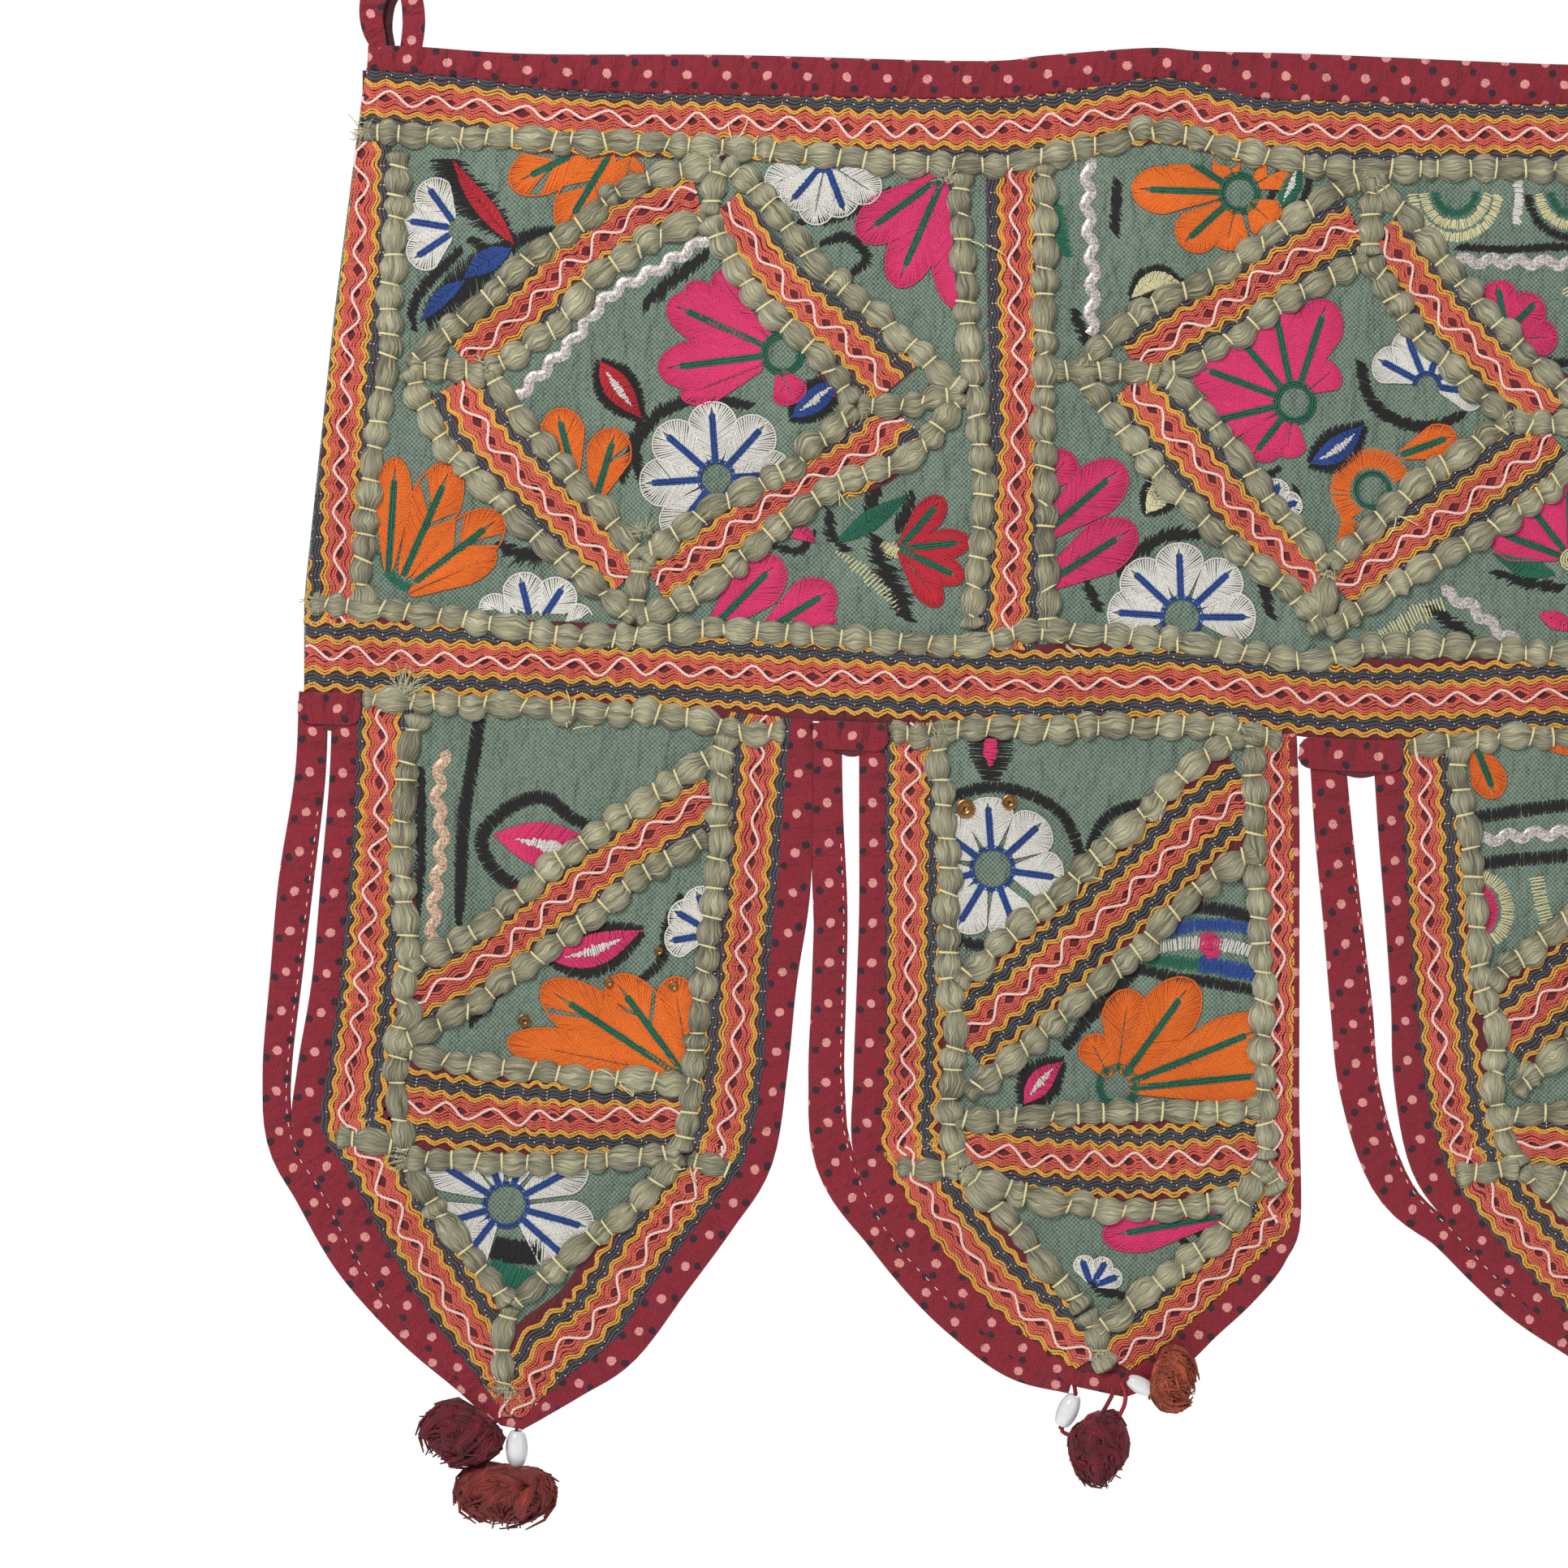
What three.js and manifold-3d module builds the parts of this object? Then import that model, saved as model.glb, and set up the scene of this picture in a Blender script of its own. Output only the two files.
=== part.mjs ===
// A toran: a patchwork hanging for the top of a doorway. A frieze of three squares carries four
// pointed pennants. Millimetres, +Z up, the front faces -Y, and the origin is the middle of the
// top edge. Everything is cut flat in the XZ plane, and drape() gives the cloth its soft waves.
import * as THREE from 'three';
import { mergeVertices } from 'three/addons/utils/BufferGeometryUtils.js';
import Module from 'manifold-3d';

const wasm = await Module();
wasm.setup();

// Thicknesses and gaps
const CLOTH_THICKNESS = 2.2;
const TAPE_THICKNESS = 2.4;
const GAP = 0.3; // between pieces that touch
const SEAM_GAP = 0.4; // between cloths that are sewn edge to edge

// Couched roving cord
const CORD_WIDTH = 9.5;
const CORD_CREST = 5; // flat top of the cord's section
const CORD_HEIGHT = 3;
const CORD_BACK = -TAPE_THICKNESS / 2 - GAP; // the cord lies on the front of cloth and tape
const CORD_STEP = 26;
const CORD_LAYERS = 5;
const CORD_LAYER = 0.11;
const MITRE_LIMIT = 0.75; // the least cosine by which an offset is lengthened at a bend

// Mesh steps
const FRIEZE_COLUMNS = 36;
const FRIEZE_ROWS = 8;
const PENNANT_COLUMNS = 7;
const PENNANT_ROWS = 14;

// Soft waves of the hanging cloth
const WAVE_DEPTH = 2.4;
const WAVE_LENGTH = 255;
const SLOW_WAVE_DEPTH = 1.6;
const SLOW_WAVE_LENGTH = 430;
const FULL_DROP = 470;

// Heights of the long seams along the hanging: [x, z]
const HEADING_TOP = [
  [-331.5, 3.5], [-315.5, 3], [-276.5, 0.5], [-207, 0], [-123, -2.5], [-97, -0.5], [-63, 2],
  [-45, 1], [0, 0], [82, -3], [134, -3], [193, 0], [257, 1], [332, 3],
];
const HEADING_FOOT = [
  [-332.5, -5], [-297, -8], [-266, -12], [-207, -14], [-123, -15.5], [-90, -13], [-60, -8.5],
  [-40, -12], [-24, -15.5], [17, -16.5], [82, -17], [134, -16], [193, -13.5], [257, -12], [333, -9],
];
const FRIEZE_FOOT = [
  [-354, -219], [-316, -220.5], [-278, -222], [-206, -227], [-151, -230], [-118, -231.5],
  [-84, -228.5], [-53, -229], [7, -235.5], [82, -234.5], [157, -233], [241, -229.5], [354, -222],
];

// Left and right ends of the frieze: [height, half width]
const FRIEZE_ENDS = [[-232, 354], [-190, 354], [-95, 344], [-5, 332.5]];
const FRIEZE_LEVELS = { foot: -222, head: -10 }; // mean levels of its foot and head

// Cords along the whole frieze
const TOP_CORD = [
  [-331, -27], [-274, -29], [-214, -31.5], [-174, -35.5], [-123, -38.5], [-99, -35.5],
  [-80, -31.5], [-59, -27], [-38, -32], [-5, -38.5], [40, -39], [134, -38], [257, -33], [332, -30],
];
const MID_CORD = [
  [-352, -188.5], [-303, -194], [-257, -201], [-211, -198], [-170, -201], [-128, -203],
  [-98, -198.5], [-52, -203], [-12, -209], [18, -204], [82, -206.5], [157, -205], [241, -201],
  [352, -191],
];

// A square lies between two upright cords. Each row gives its left and right end: x, z, x, z
const SQUARE_FRAMES = [
  [[-321, -33, -128, -41], [-334.5, -190, -124.5, -198]],
  [[-99, -38.5, 100, -40.5], [-98, -199.5, 101, -203.5]],
  [[126.5, -39, 321, -35], [127, -203, 334.5, -190]],
];

// Cords of the first two squares: two uprights, the outer and inner sides of the diamond from its
// top round by the left, and a mitre at each of its points
const SQUARE_CORDS = [
  [
    [[-321, -33], [-323, -64], [-325, -84], [-325.5, -105], [-330, -136], [-333, -167], [-334.5, -190]],
    [[-128, -41], [-125.5, -93], [-120.5, -142], [-120.5, -158], [-124.5, -198]],
    [[-210, -37], [-242, -45], [-260, -59], [-276, -70], [-297, -89], [-318, -108]],
    [[-318, -108], [-305, -135], [-280, -160], [-260, -178], [-240, -195]],
    [[-240, -195], [-216, -184], [-196, -167], [-170, -148], [-146, -139], [-127, -117]],
    [[-127, -117], [-151, -95], [-175, -74], [-197, -48], [-210, -37]],
    [[-215, -56], [-236, -65], [-255, -78], [-268, -94], [-291, -109]],
    [[-291, -109], [-273, -133], [-255, -153], [-238, -174]],
    [[-238, -174], [-216, -158], [-186, -142], [-164, -121]],
    [[-164, -121], [-176, -105], [-199, -82], [-215, -56]],
    [[-215, -56], [-210, -37]],
    [[-291, -109], [-318, -108]],
    [[-238, -174], [-240, -195]],
    [[-164, -121], [-148, -121], [-127, -117]],
  ],
  [
    [[-99, -38], [-99, -98], [-99, -151], [-98, -199]],
    [[100, -40], [101, -98], [101, -152], [101, -203]],
    [[14, -42], [2, -47], [-21, -63], [-42, -77], [-66, -90], [-88, -109]],
    [[-88, -109], [-71, -131], [-45, -160], [-11, -189], [-3, -199]],
    [[-3, -199], [22, -183], [53, -165], [82, -144], [99, -128]],
    [[99, -128], [73, -108], [45, -79], [31, -62], [14, -42]],
    [[13, -70], [-9, -81], [-29, -94], [-47, -106], [-59, -110]],
    [[-59, -110], [-45, -123], [-31, -140], [-19, -157], [-1, -177]],
    [[-1, -177], [18, -159], [40, -141], [62, -127]],
    [[62, -127], [40, -106], [27, -93], [13, -70]],
    [[13, -70], [14, -42]],
    [[-59, -110], [-96, -109]],
    [[-1, -177], [-3, -199]],
    [[62, -127], [99, -128]],
  ],
];

// Each pennant from its seam down to its point. A row holds both edges of the cloth and, at that
// height, the widths of the binding, of the slit, of the loose strip and of the right binding.
const PENNANT_COLUMNS_READ = ['leftX', 'leftZ', 'rightX', 'rightZ', 'binding', 'rightBinding', 'slit', 'strip'];
const PENNANTS = [
  [
    [-335.5, -220, -186, -228, 8.5, 7, 1.5, 10],
    [-336.5, -250, -188.5, -257, 8.5, 9.5, 1.5, 10.5],
    [-339, -286, -191, -289, 9, 11, 2.5, 12],
    [-342, -320, -194, -319, 9, 9.5, 3.5, 11],
    [-346, -350.5, -195.5, -348, 10, 8, 2, 10],
    [-348, -370.5, -201.5, -379.5, 9.5, 9, 0.3, 9],
    [-339, -385, -215, -399.5, 10, 10, 0.3, 9.5],
    [-326, -409.5, -231, -420.5, 10, 10.5, 0.3, 8.5],
    [-311, -434.5, -247, -443.5, 8, 9.5, 0.3, 5],
    [-295.5, -455, -262.5, -455.5, 5.5, 8, 0.3, 2],
    [-285.5, -470.5, -279.5, -471, 2, 3, 0.3, 1],
  ],
  [
    [-154, -231, -14.5, -232, 8.5, 2, 6, 8.8],
    [-154, -261, -13.5, -264, 8.5, 2, 5.5, 9.5],
    [-154, -294.5, -13, -297.5, 8.5, 1.5, 4, 11.5],
    [-154, -325.5, -13, -331, 9.5, 1.5, 3.5, 12],
    [-154.5, -353.5, -13.5, -364.5, 10, 2, 3, 12.5],
    [-154.5, -378, -13.5, -401, 10, 2.5, 0.5, 13],
    [-143.5, -399.5, -22.5, -412, 10.5, 7.5, 0.3, 8.5],
    [-131, -416, -34, -423.5, 9, 9, 0.3, 9],
    [-119.5, -429, -46, -434.5, 8, 9, 0.3, 8.5],
    [-103.5, -443, -59, -446, 8, 9.5, 0.3, 6.5],
    [-87, -454, -71.5, -454.5, 4.5, 7.5, 0.3, 3],
  ],
  [
    [23.5, -235, 173, -232, 9, 8.5, 10, 12],
    [25, -266.5, 175, -264, 8.5, 8.5, 9, 13],
    [26.5, -297.5, 176.5, -296, 7.5, 9, 8, 13.5],
    [29, -327, 178, -328, 8, 9, 6.5, 14.5],
    [32, -353.5, 180.5, -357.5, 10, 9.5, 5, 14],
    [38, -381, 182.5, -387, 10.5, 10.5, 2, 13],
    [49, -398.5, 174, -403, 9, 10.5, 0.3, 8.5],
    [61.5, -413.5, 158, -421, 8, 10.5, 0.3, 7.5],
    [74, -426.5, 143, -436, 7.5, 9.5, 0.3, 6.5],
    [91, -443, 127.5, -450, 6, 8, 0.3, 3.5],
    [107.5, -461.5, 113.5, -462, 3, 3, 0.3, 1],
  ],
  [
    [206, -231, 346.5, -223, 9, 9, 2, 9.5],
    [208.5, -261, 348.5, -257, 9, 9, 2, 10],
    [211.5, -294.5, 350, -289, 9, 9, 3, 10.5],
    [215, -325.5, 352, -319, 9, 9.5, 3.5, 11],
    [219, -353.5, 354, -348, 10, 10, 2, 11],
    [226, -378.5, 356.5, -379.5, 10, 10.5, 0.3, 10.5],
    [241, -398, 347, -398, 10, 10.5, 0.3, 9.5],
    [256, -418, 334.5, -418.5, 10, 10.5, 0.3, 8.5],
    [271, -434.5, 321.5, -437.5, 8, 9.5, 0.3, 5.5],
    [285.5, -451.5, 306.5, -454, 6, 8, 0.3, 3],
    [297, -468.5, 303, -469.5, 2.5, 3, 0.3, 1],
  ],
];

// The tape is folded over the notch above each slit: the cap's left end and its height
const CAPS = [{ left: -356, height: 11 }, { left: -177.6, height: 10 }, { left: -11.5, height: 11 },
  { left: 184.4, height: 10 }];

// Cords of the first two pennants: along the top, down the left, left side of the point, down the
// right, right side of the point, at the tip, at the two corners, above and below the slanting
// strip, and above and below the cross strip
const PENNANT_CORDS = [
  [
    [[-334, -222], [-297, -223.5], [-273, -225], [-247, -226.5], [-221, -228.5], [-206, -233], [-188, -233.5]],
    [[-315, -227], [-320, -256], [-320, -287], [-318, -308], [-320, -329], [-322, -354], [-319, -380]],
    [[-319, -380], [-309, -397], [-296, -415], [-283, -431]],
    [[-209, -234], [-211, -262], [-213, -293], [-218, -328], [-220, -356], [-224, -379]],
    [[-224, -379], [-240, -397], [-261, -413], [-283, -431]],
    [[-283, -431], [-286, -447], [-285, -462]],
    [[-343, -372.5], [-321, -376]],
    [[-222, -381], [-207, -385]],
    [[-318, -314], [-298, -304], [-282, -292], [-268, -279], [-238, -258], [-211, -240]],
    [[-320, -341], [-291, -324], [-263, -303], [-238, -283], [-215, -269]],
    [[-321, -342], [-304, -347], [-275, -350.5], [-246, -353.5], [-219, -355]],
    [[-319, -380], [-291, -381.5], [-263, -382], [-224, -379]],
  ],
  [
    [[-152, -235], [-139, -233.5], [-118, -232], [-97, -232.5], [-71, -231.5], [-45, -231.5], [-17, -236]],
    [[-136, -234], [-134, -259], [-132, -279], [-132, -317], [-129, -337], [-132, -362], [-128, -384]],
    [[-128, -384], [-115, -398], [-101, -414], [-85, -432]],
    [[-28, -234], [-26, -287], [-23.5, -320], [-24, -335], [-23, -381]],
    [[-23, -381], [-36, -403], [-53, -418], [-73, -433], [-82, -440]],
    [[-85, -432], [-80, -441], [-79, -447]],
    [[-150, -384], [-128, -384]],
    [[-23, -384], [-18, -392]],
    [[-31, -234], [-45, -243], [-66, -262], [-86, -281], [-103, -297], [-130, -320]],
    [[-26, -274], [-45, -286], [-60, -302], [-77, -317], [-94, -332], [-126, -359]],
    [[-131, -367], [-75, -364.5], [-24, -363.5]],
    [[-128, -385], [-95, -395], [-61, -398], [-26, -392]],
  ],
];

// Hanging loops: folded tape standing on each end of the heading
const LOOP_WIDTH = 6;
const LOOP_STEPS = 6;
const LOOP_PATH = [
  [-327.6, 2], [-331, 12], [-329.5, 22], [-323.5, 27.5], [-318, 22], [-316.5, 12], [-317.6, 2],
];

// Beads and pompoms. Across, along and into the depth, in millimetres
const BEAD = {
  length: 12.6, radius: 3.9, end: 1.9, hole: 0.8, sides: 8,
  shoulder: 0.88, shoulderAt: 0.55, lipAt: 0.98,
};
const POMPOM = {
  core: 0.82, rootRadius: 2.6, tipRadius: 3.4, locks: 14, depth: 9, sides: 3,
  shortLock: 0.94, lockShare: 0.8,
};

const POMPOM_SINK = 1; // how far the bead's end sits in among the locks

// How far each piece hangs to the side of a narrow tip, and the upper pompom in front of it
const TIP_OFFSETS = { bead: 1.5, lower: 4, upper: 19, upperBack: -1 };

// Hung below a narrow tip, as offsets from it: the bead, the pompom under it and the pompom at
// its side, which hangs lower by upperDrop. side turns the set round.
const TIP_SETS = [
  { pennant: 0, side: 1, lower: [35, 24], upper: [29, 23], upperDrop: 1 },
  { pennant: 2, side: -1, lower: [33, 23], upper: [28, 22], upperDrop: 4 },
  { pennant: 3, side: 1, lower: [34, 24], upper: [28, 24], upperDrop: 3 },
];

// The second pennant's blunt tip: a tilted bead with a dark pompom, and a bead and rust pompom
const BLUNT_BEADS = [
  { name: 'bead_2_left', x: -91, y: 0, z: -467, tilt: 25, scale: 0.94 },
  { name: 'bead_2_right', x: -66.5, y: -5.8, z: -457.5, tilt: -62, scale: 0.78 },
];
const BLUNT_POMPOMS = [
  { name: 'pompom_2_dark', x: -80.4, y: 0, z: -479.5, across: 20, height: 29 },
  { name: 'pompom_2_rust', x: -55.6, y: -5.5, z: -455.4, across: 17, height: 22 },
];

// Colours
const MAROON = { color: 0x8a1a2e, roughness: 0.9 };
const PATCH_GREEN = { color: 0x62746c, roughness: 0.95 };
const ROVING = { color: 0x8d8a6b, roughness: 0.85 };
const DARK_WOOL = { color: 0x551423, roughness: 1 };
const RUST_WOOL = { color: 0x8c3223, roughness: 1 };
const WHITE_GLASS = { color: 0xe9ecea, roughness: 0.25 };

function mesh(name, geometry, finish) {
  const piece = new THREE.Mesh(geometry, new THREE.MeshStandardMaterial({ metalness: 0, ...finish }));
  piece.name = name;
  return piece;
}

// How far a point of the flat hanging stands behind the XZ plane: nothing at the origin, and more
// towards the tips
function drape(x, z) {
  const drop = THREE.MathUtils.clamp(-z / FULL_DROP, 0, 1);
  const wave = Math.sin(2 * Math.PI * x / WAVE_LENGTH + 0.9 * drop);
  const slow = Math.sin(2 * Math.PI * x / SLOW_WAVE_LENGTH - 1.5 * drop);
  return WAVE_DEPTH * wave * (0.25 + 0.75 * drop) + SLOW_WAVE_DEPTH * slow;
}

// A smooth curve through rows of numbers, read at any value of the first column
function tableCurve(keys, rows) {
  return new THREE.CubicInterpolant(keys, rows.flat(), rows[0].length);
}

function heightCurve(points) {
  const curve = tableCurve(points.map(([x]) => x), points.map(([, z]) => [z]));
  return (x) => curve.evaluate(x)[0];
}

const headingTop = heightCurve(HEADING_TOP);
const headingFoot = heightCurve(HEADING_FOOT);
const friezeHalfWidth = heightCurve(FRIEZE_ENDS);

// The seam under the frieze, straight between the frieze's own columns
const smoothSeam = heightCurve(FRIEZE_FOOT);
function friezeFoot(x) {
  const half = FRIEZE_ENDS[0][1];
  const step = (2 * half) / FRIEZE_COLUMNS;
  const column = THREE.MathUtils.clamp(Math.floor((x + half) / step), 0, FRIEZE_COLUMNS - 1);
  const left = column * step - half;
  return THREE.MathUtils.mapLinear(x, left, left + step, smoothSeam(left), smoothSeam(left + step));
}

// Points at about the given step along a smooth line through hand-placed points
function smoothLine(points, step) {
  const curve = new THREE.SplineCurve(points.map(([x, z]) => new THREE.Vector2(x, z)));
  return curve.getSpacedPoints(Math.max(1, Math.round(curve.getLength() / step)));
}

// The same line moved sideways by the distance given for each point, to the right of its run
function offsetLine(line, distances) {
  return line.map((point, i) => {
    const before = point.clone().sub(line[Math.max(i - 1, 0)]).normalize();
    const after = line[Math.min(i + 1, line.length - 1)].clone().sub(point).normalize();
    const run = before.clone().add(after).normalize();
    const halfTurn = Math.max(run.dot(i === 0 ? after : before), MITRE_LIMIT);
    const distance = Array.isArray(distances) ? distances[i] : distances;
    return point.clone().add(new THREE.Vector2(run.y, -run.x).multiplyScalar(distance / halfTurn));
  });
}

function volumeSign(geometry) {
  const { position } = geometry.attributes;
  const corners = [0, 1, 2].map(() => new THREE.Vector3());
  let volume = 0;
  for (let i = 0; i < geometry.index.count; i += 3) {
    corners.forEach((corner, k) => corner.fromBufferAttribute(position, geometry.index.getX(i + k)));
    volume += corners[0].dot(corners[1].clone().cross(corners[2]));
  }
  return Math.sign(volume);
}

// A closed body with merged points and its faces pointing out
function closedBody(geometry) {
  geometry.deleteAttribute('normal');
  geometry.deleteAttribute('uv');
  const body = mergeVertices(geometry, 1e-4);
  if (volumeSign(body) < 0) body.index.array.reverse();
  return body;
}

// A slab between flat lines that all have the same number of points. backLines give its back
// face, at backY, and frontLines its front face, at frontY, and the whole slab takes the waves.
function slab({ backLines, frontLines = backLines, backY, frontY, rows }) {
  const columns = backLines[0].length - 1;
  const box = new THREE.BoxGeometry(1, 1, 1, columns, rows, 1);
  const { position } = box.attributes;
  for (let i = 0; i < position.count; i++) {
    const column = Math.round((position.getX(i) + 0.5) * columns);
    const inFront = position.getZ(i) > 0;
    const lines = inFront ? frontLines : backLines;
    const across = (position.getY(i) + 0.5) * (lines.length - 1);
    const lower = Math.min(Math.floor(across + 1e-6), lines.length - 2);
    const point = lines[lower][column].clone().lerp(lines[lower + 1][column], across - lower);
    const y = (inFront ? frontY : backY) + drape(point.x, point.y);
    position.setXYZ(i, point.x, y, point.y);
  }
  return closedBody(box);
}

function sheet(lines, thickness, rows) {
  return slab({ backLines: lines, backY: thickness / 2, frontY: -thickness / 2, rows });
}

// Manifold solids, for joining and cutting. Edges that a cut leaves shorter than FINE_EDGE close up.
const FINE_EDGE = 0.1;
function toSolid(geometry) {
  const vertProperties = new Float32Array(geometry.attributes.position.array);
  const triVerts = new Uint32Array(geometry.index.array);
  return new wasm.Manifold(new wasm.Mesh({ numProp: 3, vertProperties, triVerts }));
}

function toGeometry(solid) {
  const largest = solid.decompose().sort((a, b) => b.volume() - a.volume())[0];
  const { vertProperties, triVerts } = largest.asOriginal().simplify(FINE_EDGE).getMesh();
  const geometry = new THREE.BufferGeometry();
  geometry.setAttribute('position', new THREE.Float32BufferAttribute(vertProperties, 3));
  geometry.setIndex([...triVerts]);
  return geometry;
}

const join = (solids) => solids.reduce((whole, solid) => whole.add(solid));
const cut = (solid, tools) => tools.reduce((rest, tool) => rest.subtract(tool), solid);

// One length of couched cord: a ridge with sloping sides. room makes it larger all round, for
// cutting the cords that meet it, and lift brings it forward.
function cordSolid(points, room = 0, lift = 0) {
  const line = smoothLine(points, CORD_STEP);
  const edges = (width) => [-1, 1].map((side) => offsetLine(line, side * (width / 2 + room)));
  return toSolid(slab({
    backLines: edges(CORD_WIDTH),
    frontLines: edges(CORD_CREST),
    backY: CORD_BACK + room - lift,
    frontY: CORD_BACK - CORD_HEIGHT - room - lift,
    rows: 1,
  }));
}

// Lengths that cross are sewn down one over the other, so each lies a little further forward
function cordNetwork(routes) {
  return join(routes.map((points, i) => cordSolid(points, 0, (i % CORD_LAYERS) * CORD_LAYER)));
}

// Carries a point from one table of rows to another: each row holds leftX, leftZ, rightX, rightZ
function carry([x, z], fromRows, toRows, mirrored) {
  const ends = (row) => [new THREE.Vector2(row[0], row[1]), new THREE.Vector2(row[2], row[3])];
  const point = new THREE.Vector2(x, z);
  const below = (row) => {
    const [left, right] = ends(row);
    return right.clone().sub(left).normalize().cross(point.clone().sub(left));
  };
  let upper = 0;
  while (upper < fromRows.length - 2 && below(fromRows[upper + 1]) < 0) upper += 1;
  const above = below(fromRows[upper]);
  const down = above / (above - below(fromRows[upper + 1]));
  const rowAt = (rows) => ends(rows[upper]).map((end, i) => end.lerp(ends(rows[upper + 1])[i], down));
  const [fromLeft, fromRight] = rowAt(fromRows);
  const span = fromRight.clone().sub(fromLeft);
  const along = point.clone().sub(fromLeft).dot(span) / span.lengthSq();
  const [toLeft, toRight] = rowAt(toRows);
  return toLeft.lerp(toRight, mirrored ? 1 - along : along).toArray();
}

const carryAll = (cords, from, to, mirrored = false) => (
  cords.map((points) => points.map((point) => carry(point, from, to, mirrored))));

// Frieze and heading
function friezeCloth() {
  const lines = [];
  for (let row = 0; row <= FRIEZE_ROWS; row++) {
    const up = row / FRIEZE_ROWS;
    const half = friezeHalfWidth(THREE.MathUtils.lerp(FRIEZE_LEVELS.foot, FRIEZE_LEVELS.head, up));
    lines.push(Array.from({ length: FRIEZE_COLUMNS + 1 }, (_, column) => {
      const x = half * (2 * column / FRIEZE_COLUMNS - 1);
      return new THREE.Vector2(x, THREE.MathUtils.lerp(smoothSeam(x), headingFoot(x) - SEAM_GAP, up));
    }));
  }
  return mesh('frieze_cloth', sheet(lines, CLOTH_THICKNESS, FRIEZE_ROWS), PATCH_GREEN);
}

function headingSheet(room = 0) {
  const half = HEADING_FOOT.at(-1)[0];
  const columns = Array.from({ length: FRIEZE_COLUMNS + 1 }, (_, i) => half * (2 * i / FRIEZE_COLUMNS - 1));
  const foot = columns.map((x) => new THREE.Vector2(x, headingFoot(x)));
  const top = columns.map((x) => new THREE.Vector2(x, headingTop(x) + room));
  return sheet([foot, top], TAPE_THICKNESS + 2 * room, 2);
}

// A loop of folded tape, its two ends cut to stand on the heading
function hangingLoop(name, side) {
  const line = smoothLine(LOOP_PATH.map(([x, z]) => [x * side, z]), LOOP_STEPS);
  const edges = [-1, 1].map((edge) => offsetLine(line, edge * LOOP_WIDTH / 2));
  const loop = cut(toSolid(sheet(edges, TAPE_THICKNESS, 1)), [toSolid(headingSheet(GAP))]);
  return mesh(name, toGeometry(loop), MAROON);
}

// Cords of the frieze. Those of a square stop short of the two long ones.
function friezeCords() {
  const long = [TOP_CORD, MID_CORD];
  const keepOut = long.map((points) => cordSolid(points, GAP));
  const [first, second, third] = SQUARE_FRAMES;
  const routes = [...SQUARE_CORDS, carryAll(SQUARE_CORDS[0], first, third, true)];
  const squares = routes.map((cords, i) => {
    const network = cut(cordNetwork(cords), keepOut);
    return mesh(`square_cords_${i + 1}`, toGeometry(network), ROVING);
  });
  return [
    mesh('top_cord', toGeometry(cordSolid(TOP_CORD)), ROVING),
    mesh('mid_cord', toGeometry(cordSolid(MID_CORD)), ROVING),
    ...squares,
  ];
}

// The rows of a pennant at even steps from seam to tip, with its top edge on the frieze's seam
function pennantRows(table) {
  const curve = tableCurve(table.map((_, i) => i), table);
  return Array.from({ length: PENNANT_ROWS + 1 }, (_, i) => {
    const values = [...curve.evaluate((i / PENNANT_ROWS) * (table.length - 1))];
    const row = Object.fromEntries(PENNANT_COLUMNS_READ.map((column, k) => [column, values[k]]));
    const seam = (x) => friezeFoot(x) - SEAM_GAP;
    const top = i === 0;
    return {
      ...row,
      left: new THREE.Vector2(row.leftX, top ? seam(row.leftX) : row.leftZ),
      right: new THREE.Vector2(row.rightX, top ? seam(row.rightX) : row.rightZ),
    };
  });
}

// Ends a tape's edge on the seam under the frieze
function endOnSeam(line, ...ends) {
  ends.forEach((end) => { line.at(end).y = friezeFoot(line.at(end).x) - SEAM_GAP; });
  return line;
}

function pennantCloth(rows, room = 0) {
  const lines = Array.from({ length: PENNANT_COLUMNS + 1 }, (_, column) => (
    rows.map(({ left, right }) => left.clone().lerp(right, column / PENNANT_COLUMNS))));
  lines.forEach((line) => endOnSeam(line, 0));
  return sheet(lines, CLOTH_THICKNESS + 2 * room, PENNANT_COLUMNS);
}

// A tape between two distances from the pennant's edge. room makes it larger all round.
function tapeSolid(path, from, to, ends, room = 0) {
  const inner = endOnSeam(offsetLine(path, from.map((distance) => distance - room)), ...ends);
  const outer = endOnSeam(offsetLine(path, to.map((distance) => distance + room)), ...ends);
  return toSolid(sheet([inner, outer], TAPE_THICKNESS + 2 * room, 1));
}

function capSolid(cap, rows, room = 0) {
  const clothEdge = Math.min(rows[0].leftX, rows[1].leftX) - GAP;
  const steps = [0, 0.5, 1].map((along) => THREE.MathUtils.lerp(cap.left - room, clothEdge + room, along));
  const top = steps.map((x) => new THREE.Vector2(x, friezeFoot(x) - SEAM_GAP + room));
  const foot = top.map(({ x, y }) => new THREE.Vector2(x, y - cap.height - 2 * room));
  return toSolid(sheet([foot, top], TAPE_THICKNESS + 2 * room, 1));
}

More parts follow.
